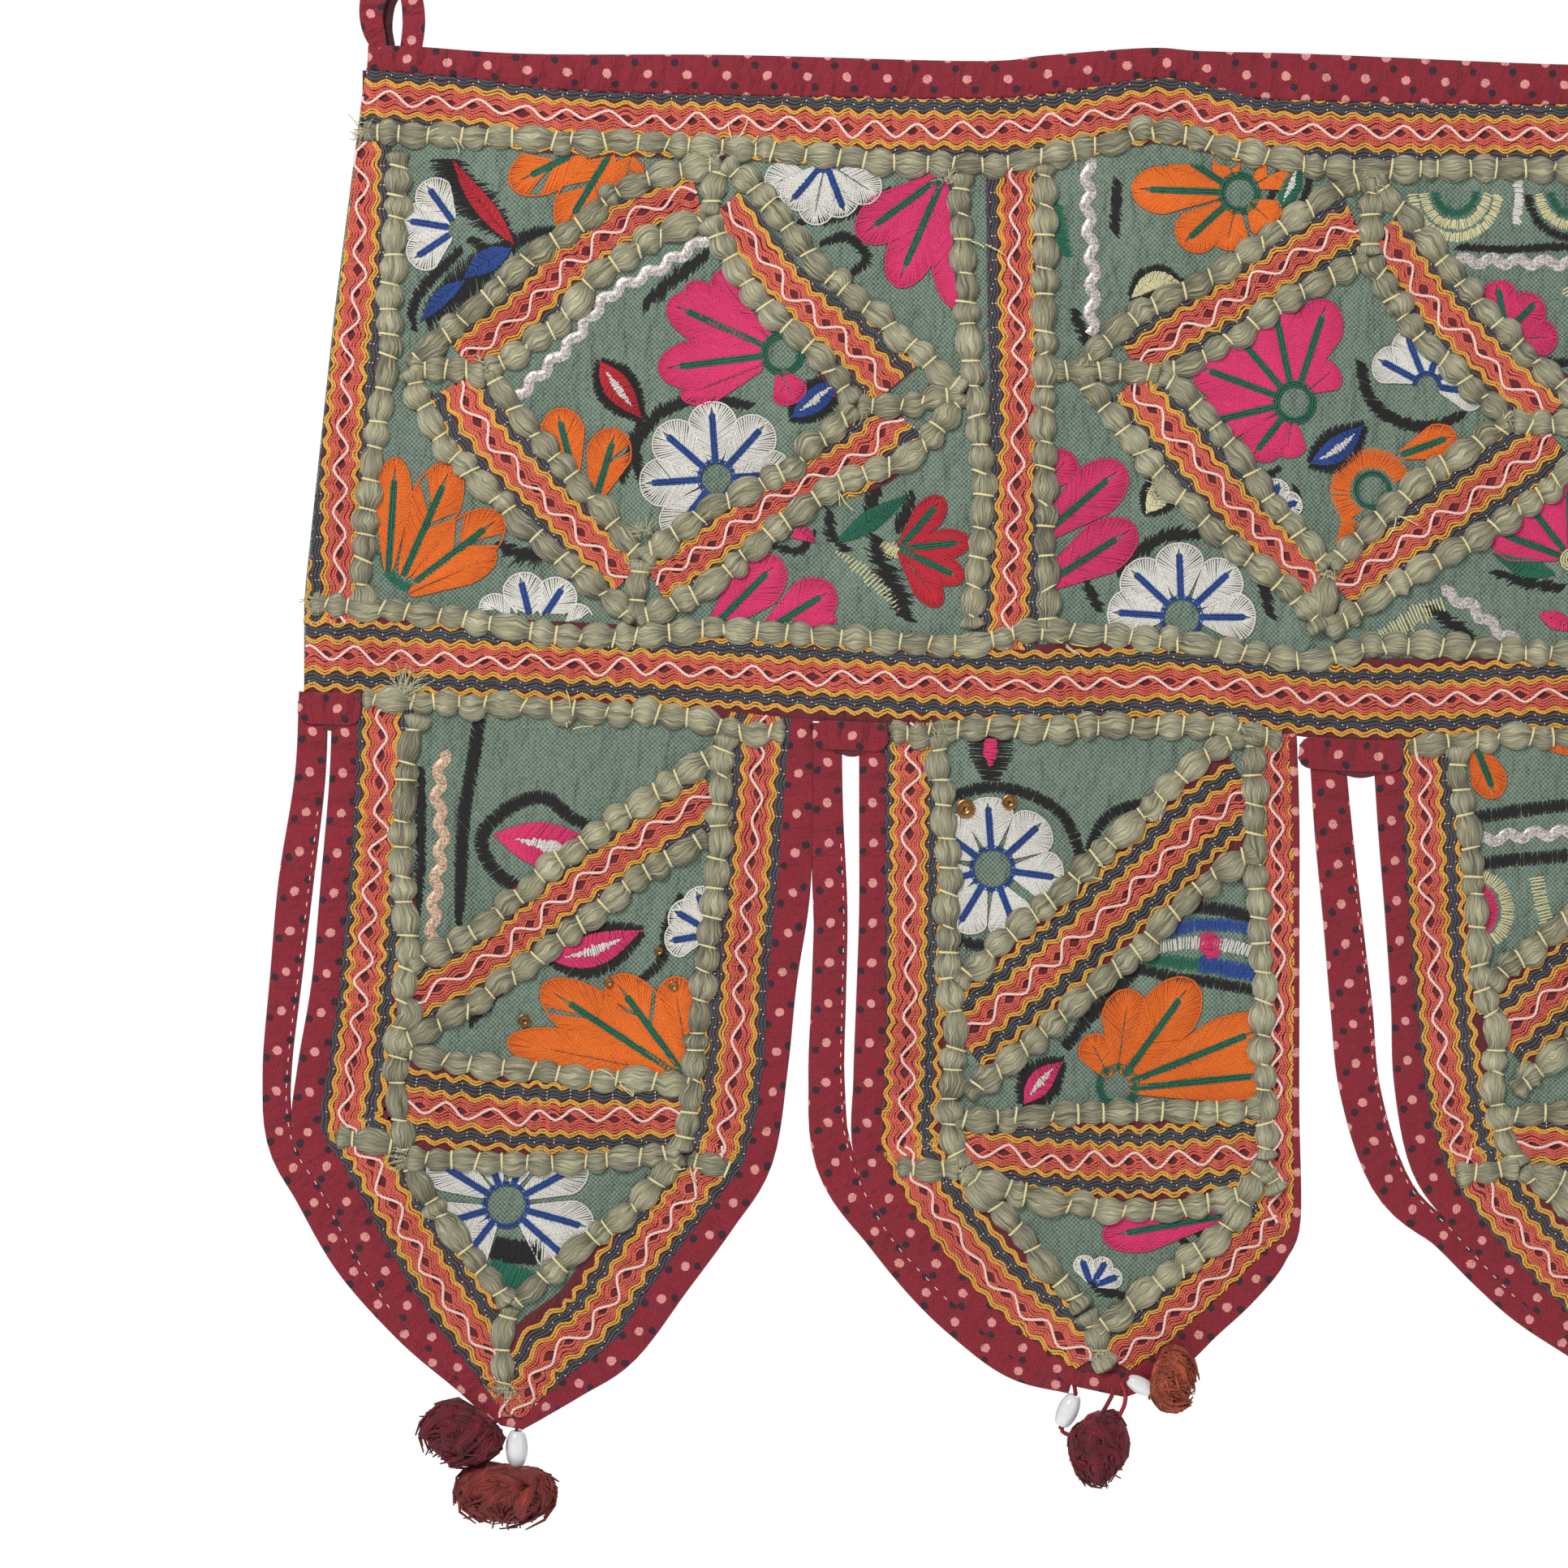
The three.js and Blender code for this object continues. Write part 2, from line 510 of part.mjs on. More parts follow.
function pennantTapes(index, rows) {
  const leftPath = rows.map(({ left }) => left);
  const path = [...leftPath, ...rows.map(({ right }) => right).reverse()];
  const bindingFrom = path.map(() => GAP);
  const widths = [...rows.map(({ binding }) => binding), ...rows.map((row) => row.rightBinding).reverse()];
  const bindingTo = widths.map((width) => GAP + width);
  const stripFrom = rows.map(({ binding, slit }) => GAP + binding + slit);
  const stripTo = rows.map(({ strip }, i) => stripFrom[i] + strip);
  const cap = capSolid(CAPS[index], rows);
  const binding = cut(tapeSolid(path, bindingFrom, bindingTo, [0, -1]), [capSolid(CAPS[index], rows, GAP)]);
  const strip = join([tapeSolid(leftPath, stripFrom, stripTo, [0]), cap]);
  const keepOut = [
    toSolid(pennantCloth(rows, GAP)),
    tapeSolid(path, bindingFrom, bindingTo, [0, -1], GAP),
    tapeSolid(leftPath, stripFrom, stripTo, [0], GAP),
  ];
  return { binding, strip, keepOut };
}

function pennants() {
  const keepOut = [];
  const pieces = PENNANTS.flatMap((table, i) => {
    const rows = pennantRows(table);
    const tapes = pennantTapes(i, rows);
    keepOut.push(tapes.keepOut);
    const source = [0, 1, 1, 0][i];
    const cords = carryAll(PENNANT_CORDS[source], PENNANTS[source], table);
    return [
      mesh(`pennant_cloth_${i + 1}`, pennantCloth(rows), PATCH_GREEN),
      mesh(`pennant_binding_${i + 1}`, toGeometry(tapes.binding), MAROON),
      mesh(`loose_strip_${i + 1}`, toGeometry(tapes.strip), MAROON),
      mesh(`pennant_cords_${i + 1}`, toGeometry(cordNetwork(cords)), ROVING),
    ];
  });
  return { pieces, keepOut };
}

// A barrel bead with its thread hole, long axis upright before it is tilted in the cloth's plane
function beadGeometry({ x, y, z, tilt = 0, scale = 1 }, room = 0) {
  const half = (BEAD.length * scale) / 2 + room;
  const shoulder = BEAD.radius * BEAD.shoulder * scale + room;
  const profile = [
    [BEAD.hole - room, -1], [BEAD.end + room, -BEAD.lipAt], [shoulder, -BEAD.shoulderAt],
    [BEAD.radius * scale + room, 0], [shoulder, BEAD.shoulderAt],
    [BEAD.end + room, BEAD.lipAt], [BEAD.hole - room, 1], [BEAD.hole - room, -1],
  ].map(([radius, along]) => new THREE.Vector2(radius, along * half));
  const bead = new THREE.LatheGeometry(profile, BEAD.sides);
  bead.rotateX(Math.PI / 2).rotateY(THREE.MathUtils.degToRad(-tilt)).translate(x, y + drape(x, z), z);
  return closedBody(bead);
}

// A pompom: a felted core with short blunt locks standing out of it on all sides
function pompomSolid({ x, y, z, across, height }, room = 0) {
  const half = new THREE.Vector3(across / 2 + room, POMPOM.depth + room, height / 2 + room);
  const core = new THREE.IcosahedronGeometry(POMPOM.core, 1).scale(half.x, half.y, half.z);
  const locks = Array.from({ length: POMPOM.locks }, (_, i) => {
    const up = 1 - (2 * i + 1) / POMPOM.locks;
    const turn = i * Math.PI * (3 - Math.sqrt(5)) + x;
    const level = Math.sqrt(1 - up * up);
    const way = new THREE.Vector3(level * Math.cos(turn), level * Math.sin(turn), up);
    const tip = way.clone().multiply(half).multiplyScalar(i % 3 === 0 ? 1 : POMPOM.shortLock);
    const length = tip.length() * POMPOM.lockShare;
    const lock = new THREE.CylinderGeometry(POMPOM.tipRadius + room, POMPOM.rootRadius + room, length, POMPOM.sides);
    const toTip = tip.clone().normalize();
    const turnTo = new THREE.Quaternion().setFromUnitVectors(new THREE.Vector3(0, 1, 0), toTip);
    lock.applyQuaternion(turnTo);
    const middle = tip.clone().sub(toTip.multiplyScalar(length / 2));
    return toSolid(closedBody(lock.translate(middle.x, middle.y, middle.z)));
  });
  const solid = join([toSolid(closedBody(core)), ...locks]);
  return solid.translate([x, y + drape(x, z), z]);
}

// Beads and pompoms of the four tips. A pompom is cut to clear what was placed before it.
function tipTrims(keepOut) {
  const beads = [];
  const pompoms = [];
  TIP_SETS.forEach(({ pennant, side, lower, upper, upperDrop }) => {
    const number = pennant + 1;
    const tip = PENNANTS[pennant].at(-1);
    const x = (tip[0] + tip[2]) / 2 + TIP_OFFSETS.bead * side;
    const bindingFoot = Math.min(tip[1], tip[3]) - GAP - tip[5];
    const beadZ = bindingFoot - GAP - BEAD.length / 2;
    beads.push({ name: `bead_${number}`, x, y: 0, z: beadZ });
    const lowerZ = beadZ - BEAD.length / 2 - GAP - POMPOM.core * lower[1] / 2 + POMPOM_SINK;
    pompoms.push({
      name: `pompom_${number}_lower`, x: x - TIP_OFFSETS.lower * side, y: 0, z: lowerZ, across: lower[0],
      height: lower[1], pennant,
    });
    pompoms.push({
      name: `pompom_${number}_upper`, x: x - TIP_OFFSETS.upper * side, y: TIP_OFFSETS.upperBack,
      z: bindingFoot - upperDrop, across: upper[0], height: upper[1], pennant,
    });
  });
  beads.push(...BLUNT_BEADS);
  pompoms.push(...BLUNT_POMPOMS.map((pompom) => ({ ...pompom, pennant: 1 })));
  const done = [];
  pompoms.forEach((pompom) => {
    const beadTools = beads.map((bead) => toSolid(beadGeometry(bead, GAP)));
    const solid = cut(pompomSolid(pompom), [...keepOut[pompom.pennant], ...beadTools, ...done]);
    done.push(pompomSolid(pompom, GAP));
    const wool = pompom.name.endsWith('rust') ? RUST_WOOL : DARK_WOOL;
    pompom.mesh = mesh(pompom.name, toGeometry(solid), wool);
  });
  return [
    ...beads.map((bead) => mesh(bead.name, beadGeometry(bead), WHITE_GLASS)),
    ...pompoms.map((pompom) => pompom.mesh),
  ];
}

const { pieces, keepOut } = pennants();
const toran = new THREE.Group();
toran.name = 'toran';
toran.add(
  friezeCloth(),
  mesh('heading_tape', headingSheet(), MAROON),
  hangingLoop('hanging_loop_left', 1),
  hangingLoop('hanging_loop_right', -1),
  ...friezeCords(),
  ...pieces,
  ...tipTrims(keepOut),
);

export default toran;
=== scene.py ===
import math

import bmesh
import bpy
import numpy as np
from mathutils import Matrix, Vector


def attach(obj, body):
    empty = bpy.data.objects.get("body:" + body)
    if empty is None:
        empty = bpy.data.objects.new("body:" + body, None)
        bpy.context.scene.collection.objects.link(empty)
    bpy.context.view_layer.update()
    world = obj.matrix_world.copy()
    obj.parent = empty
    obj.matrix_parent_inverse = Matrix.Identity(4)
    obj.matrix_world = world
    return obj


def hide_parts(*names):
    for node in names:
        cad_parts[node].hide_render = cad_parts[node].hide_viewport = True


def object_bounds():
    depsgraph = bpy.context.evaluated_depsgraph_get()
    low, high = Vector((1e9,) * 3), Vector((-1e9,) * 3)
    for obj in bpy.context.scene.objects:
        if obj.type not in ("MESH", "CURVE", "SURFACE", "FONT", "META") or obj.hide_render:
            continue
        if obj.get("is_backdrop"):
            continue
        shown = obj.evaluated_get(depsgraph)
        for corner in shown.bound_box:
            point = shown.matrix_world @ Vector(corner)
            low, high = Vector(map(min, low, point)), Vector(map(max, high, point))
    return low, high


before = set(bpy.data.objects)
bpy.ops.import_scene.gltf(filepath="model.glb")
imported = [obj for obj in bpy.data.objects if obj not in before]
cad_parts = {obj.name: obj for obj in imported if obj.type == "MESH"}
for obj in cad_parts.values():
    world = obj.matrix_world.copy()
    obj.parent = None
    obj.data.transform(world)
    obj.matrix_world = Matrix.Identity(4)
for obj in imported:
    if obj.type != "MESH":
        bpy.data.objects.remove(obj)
cad_low, cad_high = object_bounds()
rng = np.random.default_rng(11)

# Camera
# Square on to the hanging and a little left of its middle, so the left two thirds are in view.
camera = bpy.data.objects.new("camera", bpy.data.cameras.new("camera"))
camera.data.lens = 85
camera.data.sensor_width = 36
camera.location = (-0.1887, -1.277, -0.2514)
camera.rotation_euler = (math.radians(90), 0, 0)
bpy.context.collection.objects.link(camera)
bpy.context.scene.camera = camera
bpy.context.scene.view_settings.view_transform = "Standard"


# Room, floor and light
# The floor lies well below the cloth, so no shadow falls on it, and the room is white all round.
def dye(red, green, blue):
    """Linear colour of a dye that is read as 0 to 255."""
    return (*[((c / 255 + 0.055) / 1.055) ** 2.4 if c > 10 else c / 3294 for c in (red, green, blue)], 1)


def plain_board(name, low, high, glow):
    paper = bpy.data.materials.new(name)
    paper.use_nodes = True
    shader = paper.node_tree.nodes["Principled BSDF"]
    shader.inputs["Base Color"].default_value = (0.9, 0.9, 0.9, 1)
    shader.inputs["Roughness"].default_value = 0.9
    shader.inputs["Emission Color"].default_value = (1, 1, 1, 1)
    shader.inputs["Emission Strength"].default_value = glow
    bm = bmesh.new()
    bmesh.ops.create_cube(bm, size=1)
    size = [b - a for a, b in zip(low, high)]
    bmesh.ops.scale(bm, vec=size, verts=bm.verts)
    bmesh.ops.translate(bm, vec=[(a + b) / 2 for a, b in zip(low, high)], verts=bm.verts)
    board = bpy.data.objects.new(name, bpy.data.meshes.new(name))
    bm.to_mesh(board.data)
    bm.free()
    board.data.materials.append(paper)
    bpy.context.collection.objects.link(board)
    board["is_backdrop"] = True


plain_board("floor", (-4, -4, -1.52), (4, 4, -1.5), 0.55)


def soft_light(name, place, aim, size, power):
    light = bpy.data.objects.new(name, bpy.data.lights.new(name, "AREA"))
    light.data.size = size
    light.data.energy = power
    light.location = place
    way = [a - b for a, b in zip(aim, place)]
    light.rotation_euler = Vector(way).to_track_quat("-Z", "Y").to_euler()
    bpy.context.collection.objects.link(light)


soft_light("key_light", (-1.0, -1.5, 1.0), (-0.1, 0, -0.25), 0.5, 34)
soft_light("fill_light", (1.3, -1.6, 0.1), (0, 0, -0.3), 1.2, 5)
soft_light("back_light", (0.9, 1.7, 0.7), (0, 0, -0.25), 0.8, 22)
# The room lights the cloth softly, and looks white itself.
room = bpy.data.worlds.new("room")
room.use_nodes = True
walls = room.node_tree.nodes["Background"]
walls.inputs["Color"].default_value = (1, 1, 1, 1)
seen = room.node_tree.nodes.new("ShaderNodeLightPath").outputs["Is Camera Ray"]
glow = room.node_tree.nodes.new("ShaderNodeMapRange")
glow.inputs["To Min"].default_value = 0.24
glow.inputs["To Max"].default_value = 1.0
room.node_tree.links.new(seen, glow.inputs["Value"])
room.node_tree.links.new(glow.outputs["Result"], walls.inputs["Strength"])
bpy.context.scene.world = room


# Frieze cloth
# One long panel of plain grey-green cotton. Everything else of the frieze is stitched to its front,
# and the hanging waves softly in and out along its length. Lengths here are in millimetres.
def drape(x, z):
    drop = np.clip(-z / 470, 0, 1)
    wave = np.sin(2 * np.pi * x / 255 + 0.9 * drop)
    slow = np.sin(2 * np.pi * x / 430 - 1.5 * drop)
    return 2.4 * wave * (0.25 + 0.75 * drop) + 1.6 * slow


def hang(points):
    """Metres in the row frame of points given as x, z and how far they stand in front."""
    x, z, front = np.moveaxis(np.asarray(points, float), -1, 0)
    return np.stack([x, drape(x, z) - front, z], axis=-1) / 1000


def through(points, parts):
    """A smooth line through rows of numbers, with each step between them cut in parts."""
    rows = np.asarray(points, float)
    if len(rows) == 2:
        return np.linspace(rows[0], rows[1], parts + 1)
    rows = np.vstack([2 * rows[0] - rows[1], rows, 2 * rows[-1] - rows[-2]])
    a, b, c, d = (rows[i : len(rows) - 3 + i, None] for i in range(4))
    t = (np.arange(parts) / parts)[None, :, None]
    bends = 2 * a - 5 * b + 4 * c - d
    smooth = b + 0.5 * t * ((c - a) + t * (bends + t * (3 * b - 3 * c + d - a)))
    return np.vstack([smooth.reshape(-1, rows.shape[1]), rows[-2]])


def spaced(line, step=None, count=None):
    """The same line with points at even distances along it."""
    line = np.asarray(line, float)
    gone = np.concatenate([[0], np.cumsum(np.linalg.norm(np.diff(line[:, :2], axis=0), axis=1))])
    count = count or max(4, round(gone[-1] / step) + 1)
    at = np.linspace(0, gone[-1], count)
    return np.stack([np.interp(at, gone, column) for column in line.T], axis=1)


def height_of(points):
    line = through(points, 12)
    return lambda x: np.interp(x, line[:, 0], line[:, 1])


HEADING_FOOT = [
    (-332.5, -5), (-297, -8), (-266, -12), (-207, -14), (-123, -15.5), (-90, -13), (-60, -8.5),
    (-40, -12), (-24, -15.5), (17, -16.5), (82, -17), (134, -16), (193, -13.5), (257, -12), (333, -9),
]
FRIEZE_FOOT = [
    (-354, -219), (-316, -220.5), (-278, -222), (-206, -227), (-151, -230), (-118, -231.5),
    (-84, -228.5), (-53, -229), (7, -235.5), (82, -234.5), (157, -233), (241, -229.5), (354, -222),
]
heading_foot = height_of(HEADING_FOOT)
frieze_foot = height_of(FRIEZE_FOOT)


def frieze_end(z):
    """Half the frieze's width at that height."""
    return np.interp(z, [-232, -190, -95, -5], [354, 354, 344, 332.5])


def nodes_of(tree):
    """Short ways to add nodes to a tree: a maths node, a mix of two colours and any other node."""

    def add(kind, values=None, **settings):
        node = tree.nodes.new(kind)
        for key, value in settings.items():
            setattr(node, key, value)
        for socket, value in (values or {}).items():
            if isinstance(value, bpy.types.NodeSocket):
                tree.links.new(value, node.inputs[socket])
            else:
                node.inputs[socket].default_value = value
        return node

    def maths(operation, *values):
        return add("ShaderNodeMath", dict(enumerate(values)), operation=operation).outputs[0]

    def mixed(share, first, second):
        values = {0: share, 6: first, 7: second}
        return add("ShaderNodeMix", values, data_type="RGBA").outputs[2]

    return add, maths, mixed


def plain_weave_group():
    """Over-and-under threads of a plain weave. Takes millimetres, gives a height and a shade."""
    group = bpy.data.node_groups.new("plain_weave", "ShaderNodeTree")
    group.interface.new_socket("Place", in_out="INPUT", socket_type="NodeSocketVector")
    group.interface.new_socket("Pitch", in_out="INPUT", socket_type="NodeSocketFloat")
    group.interface.new_socket("Height", in_out="OUTPUT", socket_type="NodeSocketFloat")
    group.interface.new_socket("Shade", in_out="OUTPUT", socket_type="NodeSocketFloat")
    add, maths, _ = nodes_of(group)
    entry, leave = add("NodeGroupInput"), add("NodeGroupOutput")
    place = add("ShaderNodeSeparateXYZ", {0: entry.outputs["Place"]}).outputs
    turns = [maths("DIVIDE", maths("MULTIPLY", place[i], math.pi), entry.outputs["Pitch"]) for i in (0, 1)]
    lattice = maths("MULTIPLY", maths("SINE", turns[0]), maths("SINE", turns[1]))
    slubs = []
    for stretch in ((0.3, 1.7, 1), (1.7, 0.3, 1)):
        moved = add("ShaderNodeMapping", {"Vector": entry.outputs["Place"], "Scale": stretch})
        noise = add("ShaderNodeTexNoise", {"Vector": moved.outputs[0], "Scale": 1.0, "Detail": 2.0})
        slubs.append(noise.outputs["Fac"])
    slub = maths("ADD", maths("MULTIPLY", slubs[0], 0.5), maths("MULTIPLY", slubs[1], 0.5))
    height = maths("ADD", maths("MULTIPLY", lattice, 0.5), slub)
    tree = group.links
    tree.new(height, leave.inputs["Height"])
    shade = maths("ADD", maths("MULTIPLY", lattice, 0.42), slub)
    tree.new(shade, leave.inputs["Shade"])
    return group


plain_weave = plain_weave_group()


def cotton(name, dark, light, pitch, wear=0.5, on_uv=False):
    """Plain-woven cotton, a little faded in patches."""
    cloth = bpy.data.materials.new(name)
    cloth.use_nodes = True
    add, maths, mixed = nodes_of(cloth.node_tree)
    shader = cloth.node_tree.nodes["Principled BSDF"]
    if on_uv:
        place = add("ShaderNodeUVMap", uv_map="cloth_mm").outputs[0]
    else:
        coordinates = add("ShaderNodeTexCoord").outputs["Object"]
        turned = add("ShaderNodeMapping", {"Vector": coordinates, "Rotation": (math.pi / 2, 0, 0),
                                           "Scale": (1000, 1000, 1000)})
        place = turned.outputs[0]
    weave = cloth.node_tree.nodes.new("ShaderNodeGroup")
    weave.node_tree = plain_weave
    cloth.node_tree.links.new(place, weave.inputs["Place"])
    weave.inputs["Pitch"].default_value = pitch
    patchy = add("ShaderNodeTexNoise", {"Vector": place, "Scale": 0.035, "Detail": 4.0}).outputs["Fac"]
    share = maths("ADD", weave.outputs["Shade"], maths("MULTIPLY", maths("SUBTRACT", patchy, 0.5), wear))
    colour = mixed(share, dark, light)
    cloth.node_tree.links.new(colour, shader.inputs["Base Color"])
    shader.inputs["Roughness"].default_value = 0.92
    shader.inputs["Sheen Weight"].default_value = 0.15
    turned = add("ShaderNodeMapping", {"Vector": place, "Rotation": (0, 0, 0.5), "Scale": (0.16, 0.07, 1)})
    folds = add("ShaderNodeTexNoise", {"Vector": turned.outputs[0], "Scale": 1.0,
                                       "Detail": 3.0}).outputs["Fac"]
    wrinkles = add("ShaderNodeBump", {"Height": folds, "Strength": 0.9, "Distance": 0.006}).outputs[0]
    bump = add("ShaderNodeBump", {"Height": weave.outputs["Height"], "Strength": 0.8, "Distance": 0.0003,
                                  "Normal": wrinkles})
    cloth.node_tree.links.new(bump.outputs[0], shader.inputs["Normal"])
    return cloth, place


def make_piece(name, bm_or_mesh, finish, slot, *stands_for):
    shape = bm_or_mesh
    if not isinstance(shape, bpy.types.Mesh):
        shape = bpy.data.meshes.new(name)
        bm_or_mesh.to_mesh(shape)
        bm_or_mesh.free()
    shape.name = name
    shape.materials.append(finish)
    shape.polygons.foreach_set("use_smooth", [True] * len(shape.polygons))
    piece = bpy.data.objects.new(name, shape)
    bpy.context.collection.objects.link(piece)
    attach(piece, "root")
    if stands_for:
        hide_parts(*stands_for)
    return piece


def cloth_sheet(name, rows, front, thickness, finish, slot, *stands_for):
    """Rows of points, lowest first, of a sheet whose front stands that far forward."""
    rows = np.asarray(rows, float)
    bm = bmesh.new()
    bmesh.ops.create_grid(bm, x_segments=rows.shape[1] - 1, y_segments=rows.shape[0] - 1, size=0.5)
    shape = bpy.data.meshes.new(name)
    bm.to_mesh(shape)
    bm.free()
    points = np.dstack([rows, np.full(rows.shape[:2], front)])
    shape.vertices.foreach_set("co", hang(points).ravel())
    piece = make_piece(name, shape, finish, slot, *stands_for)
    body = piece.modifiers.new("thickness", "SOLIDIFY")
    body.thickness = thickness / 1000
    body.offset = -1
    return piece


patch_cotton, _ = cotton("patch_cotton", dye(62, 80, 70), dye(134, 152, 134), 0.82)

rows = []
for up in np.linspace(0, 1, 29):
    half = frieze_end(-222 + 212 * up)
    x = np.linspace(-half, half, 181)
    rows.append(np.stack([x, frieze_foot(x) * (1 - up) + (heading_foot(x) - 0.4) * up], axis=1))
frieze = cloth_sheet("frieze_patchwork", rows, 1.1, 2.0, patch_cotton, "patchwork_cloth", "frieze_cloth")


# Heading tape
# Printed maroon cotton, folded in two and stitched over the top edge. A crease runs along it
# where the fold has slipped, and its pink and dark dots are printed in slanting rows.
ROW_APART = 7.4
DOT_APART = 13.8


def dotted(name):
    tape, place = cotton(name, dye(96, 12, 28), dye(164, 36, 54), 0.6, 0.35, on_uv=True)
    add, maths, mixed = nodes_of(tape.node_tree)
    shader = tape.node_tree.nodes["Principled BSDF"]
    base = shader.inputs["Base Color"].links[0].from_socket
    wobble = add("ShaderNodeTexNoise", {"Vector": place, "Scale": 0.11, "Detail": 1.0}).outputs["Color"]
    shift = add("ShaderNodeVectorMath", {0: wobble, 1: (0.5, 0.5, 0.5)}, operation="SUBTRACT").outputs[0]
    shift = add("ShaderNodeVectorMath", {0: shift, 1: (1.6, 1.6, 0)}, operation="MULTIPLY").outputs[0]
    moved = add("ShaderNodeVectorMath", {0: place, 1: shift}, operation="ADD").outputs[0]
    rough = add("ShaderNodeTexNoise", {"Vector": place, "Scale": 1.3, "Detail": 2.0}).outputs["Fac"]
    for start, size, ink in (((0, 0), 1.62, dye(224, 152, 146)), ((2.6, -3.6), 1.42, dye(38, 28, 40))):
        at = add("ShaderNodeVectorMath", {0: moved, 1: (*start, 0)}, operation="SUBTRACT").outputs[0]
        split = add("ShaderNodeSeparateXYZ", {0: at}).outputs
        row = maths("ROUND", maths("DIVIDE", split[1], ROW_APART))
        across = maths("SUBTRACT", split[1], maths("MULTIPLY", row, ROW_APART))
        step = maths("MULTIPLY", maths("MODULO", maths("ABSOLUTE", row), 2.0), DOT_APART / 2)
        along = maths("ADD", split[0], step)
        nearest_dot = maths("ROUND", maths("DIVIDE", along, DOT_APART))
        along = maths("SUBTRACT", along, maths("MULTIPLY", nearest_dot, DOT_APART))
        far = maths("SQRT", maths("ADD", maths("MULTIPLY", along, along), maths("MULTIPLY", across, across)))
        far = maths("ADD", far, maths("MULTIPLY", maths("SUBTRACT", rough, 0.5), 0.9))
        dot = maths("SMOOTH_MIN", maths("MAXIMUM", maths("MULTIPLY", maths("SUBTRACT", size, far), 5.0), 0.0),
                    0.93, 0.1)
        base = mixed(dot, base, ink)
    tape.node_tree.links.new(base, shader.inputs["Base Color"])
    return tape


dotted_tape = dotted("dotted_tape")


def lay(name, runs, section, finish, slot, *stands_for, apart=0.0, gather=None, buried=None):
    """Strips that lie along lines. A run holds lines of x, z and front, their half width and rise.

    The cloth_mm map holds millimetres along and across. With gather, it is that wide all along, so
    threads draw together where the strip is narrow, and a map named fullness tells where. What
    lies wholly behind the front named buried is inside the cloth and is left out.
    """
    section = np.asarray(section, float)
    across = len(section)
    whole = bmesh.new()
    for lines, half, rise in runs:
        lines = np.asarray(lines, float)
        lines = lines[None] if lines.ndim == 2 else lines
        count, stations = lines.shape[:2]
        half = np.broadcast_to(half, (count, stations))
        rise = np.broadcast_to(rise, (count, stations))
        along = np.gradient(lines[..., :2], axis=1)
        along /= np.maximum(np.linalg.norm(along, axis=2, keepdims=True), 1e-9)
        side = np.stack([-along[..., 1], along[..., 0]], axis=2) * half[..., None]
        flat = lines[:, None, :, :2] + section[None, :, None, :1] * side[:, None]
        front = lines[:, None, :, 2] + section[None, :, None, 1] * rise[:, None]
        steps = np.linalg.norm(np.diff(lines[..., :2], axis=1), axis=2)
        gone = np.concatenate([np.zeros((count, 1)), np.cumsum(steps, axis=1)], axis=1)
        gone += rng.uniform(0, 40, (count, 1)) * (apart > 0)
        u = np.broadcast_to(gone[:, None], front.shape)
        width = gather or half[:, None]
        v = section[None, :, None, 0] * width + apart * np.arange(count)[:, None, None]
        v = np.broadcast_to(v, front.shape)
        bm = bmesh.new()
        bmesh.ops.create_grid(bm, x_segments=stations - 1, y_segments=count * across - 1, size=0.5)
        gaps = np.zeros((count * across - 1, stations - 1), bool)
        gaps[across - 1 :: across] = True
        if buried is not None:
            deep = (front < buried).reshape(count * across, stations)
            gaps |= deep[:-1, :-1] & deep[:-1, 1:] & deep[1:, :-1] & deep[1:, 1:]
        gaps = [f for f, gap in zip(bm.faces, gaps.ravel()) if gap]
        bmesh.ops.delete(bm, geom=gaps, context="FACES_ONLY")
        strips = bpy.data.meshes.new(name)
        bm.to_mesh(strips)
        bm.free()
        strips.vertices.foreach_set("co", hang(np.concatenate([flat, front[..., None]], axis=3)).ravel())
        corners = np.empty(len(strips.loops), int)
        strips.loops.foreach_get("vertex_index", corners)
        layer = strips.uv_layers.new(name="cloth_mm")
        layer.data.foreach_set("uv", np.stack([u.ravel(), v.ravel()], axis=1)[corners].ravel())
        if gather:
            full = np.broadcast_to(half[:, None] / gather, front.shape).ravel()
            aside = np.broadcast_to(section[None, :, None, 0], front.shape).ravel()
            layer = strips.uv_layers.new(name="fullness")
            layer.data.foreach_set("uv", np.stack([full, aside], axis=1)[corners].ravel())
        whole.from_mesh(strips)
        bpy.data.meshes.remove(strips)
    bmesh.ops.delete(whole, geom=[e for e in whole.edges if e.is_wire], context="EDGES")
    return make_piece(name, whole, finish, slot, *stands_for)


TAPE_SECTION = [(-1, -2.2), (-1, 0.1), (-0.97, 0.75), (-0.88, 1), (0, 1), (0.88, 1), (0.97, 0.75), (1, 0.1),
                (1, -2.2)]
HEADING_TOP = [
    (-331.5, 3.5), (-315.5, 3), (-276.5, 0.5), (-207, 0), (-123, -2.5), (-97, -0.5), (-63, 2),
    (-45, 1), (0, 0), (82, -3), (134, -3), (193, 0), (257, 1), (332, 3),
]
heading_top = height_of(HEADING_TOP)
x = np.linspace(-332.3, 332.3, 330)
middle = (heading_top(x) + heading_foot(x)) / 2
half = (heading_top(x) - heading_foot(x)) / 2
line = np.stack([x, middle, np.full_like(x, 0.8)], axis=1)
heading = lay("dotted_heading", [(line, half, 0.5)], TAPE_SECTION, dotted_tape, "dotted_tape", "heading_tape")
body = heading.modifiers.new("thickness", "SOLIDIFY")
body.thickness = 0.0004

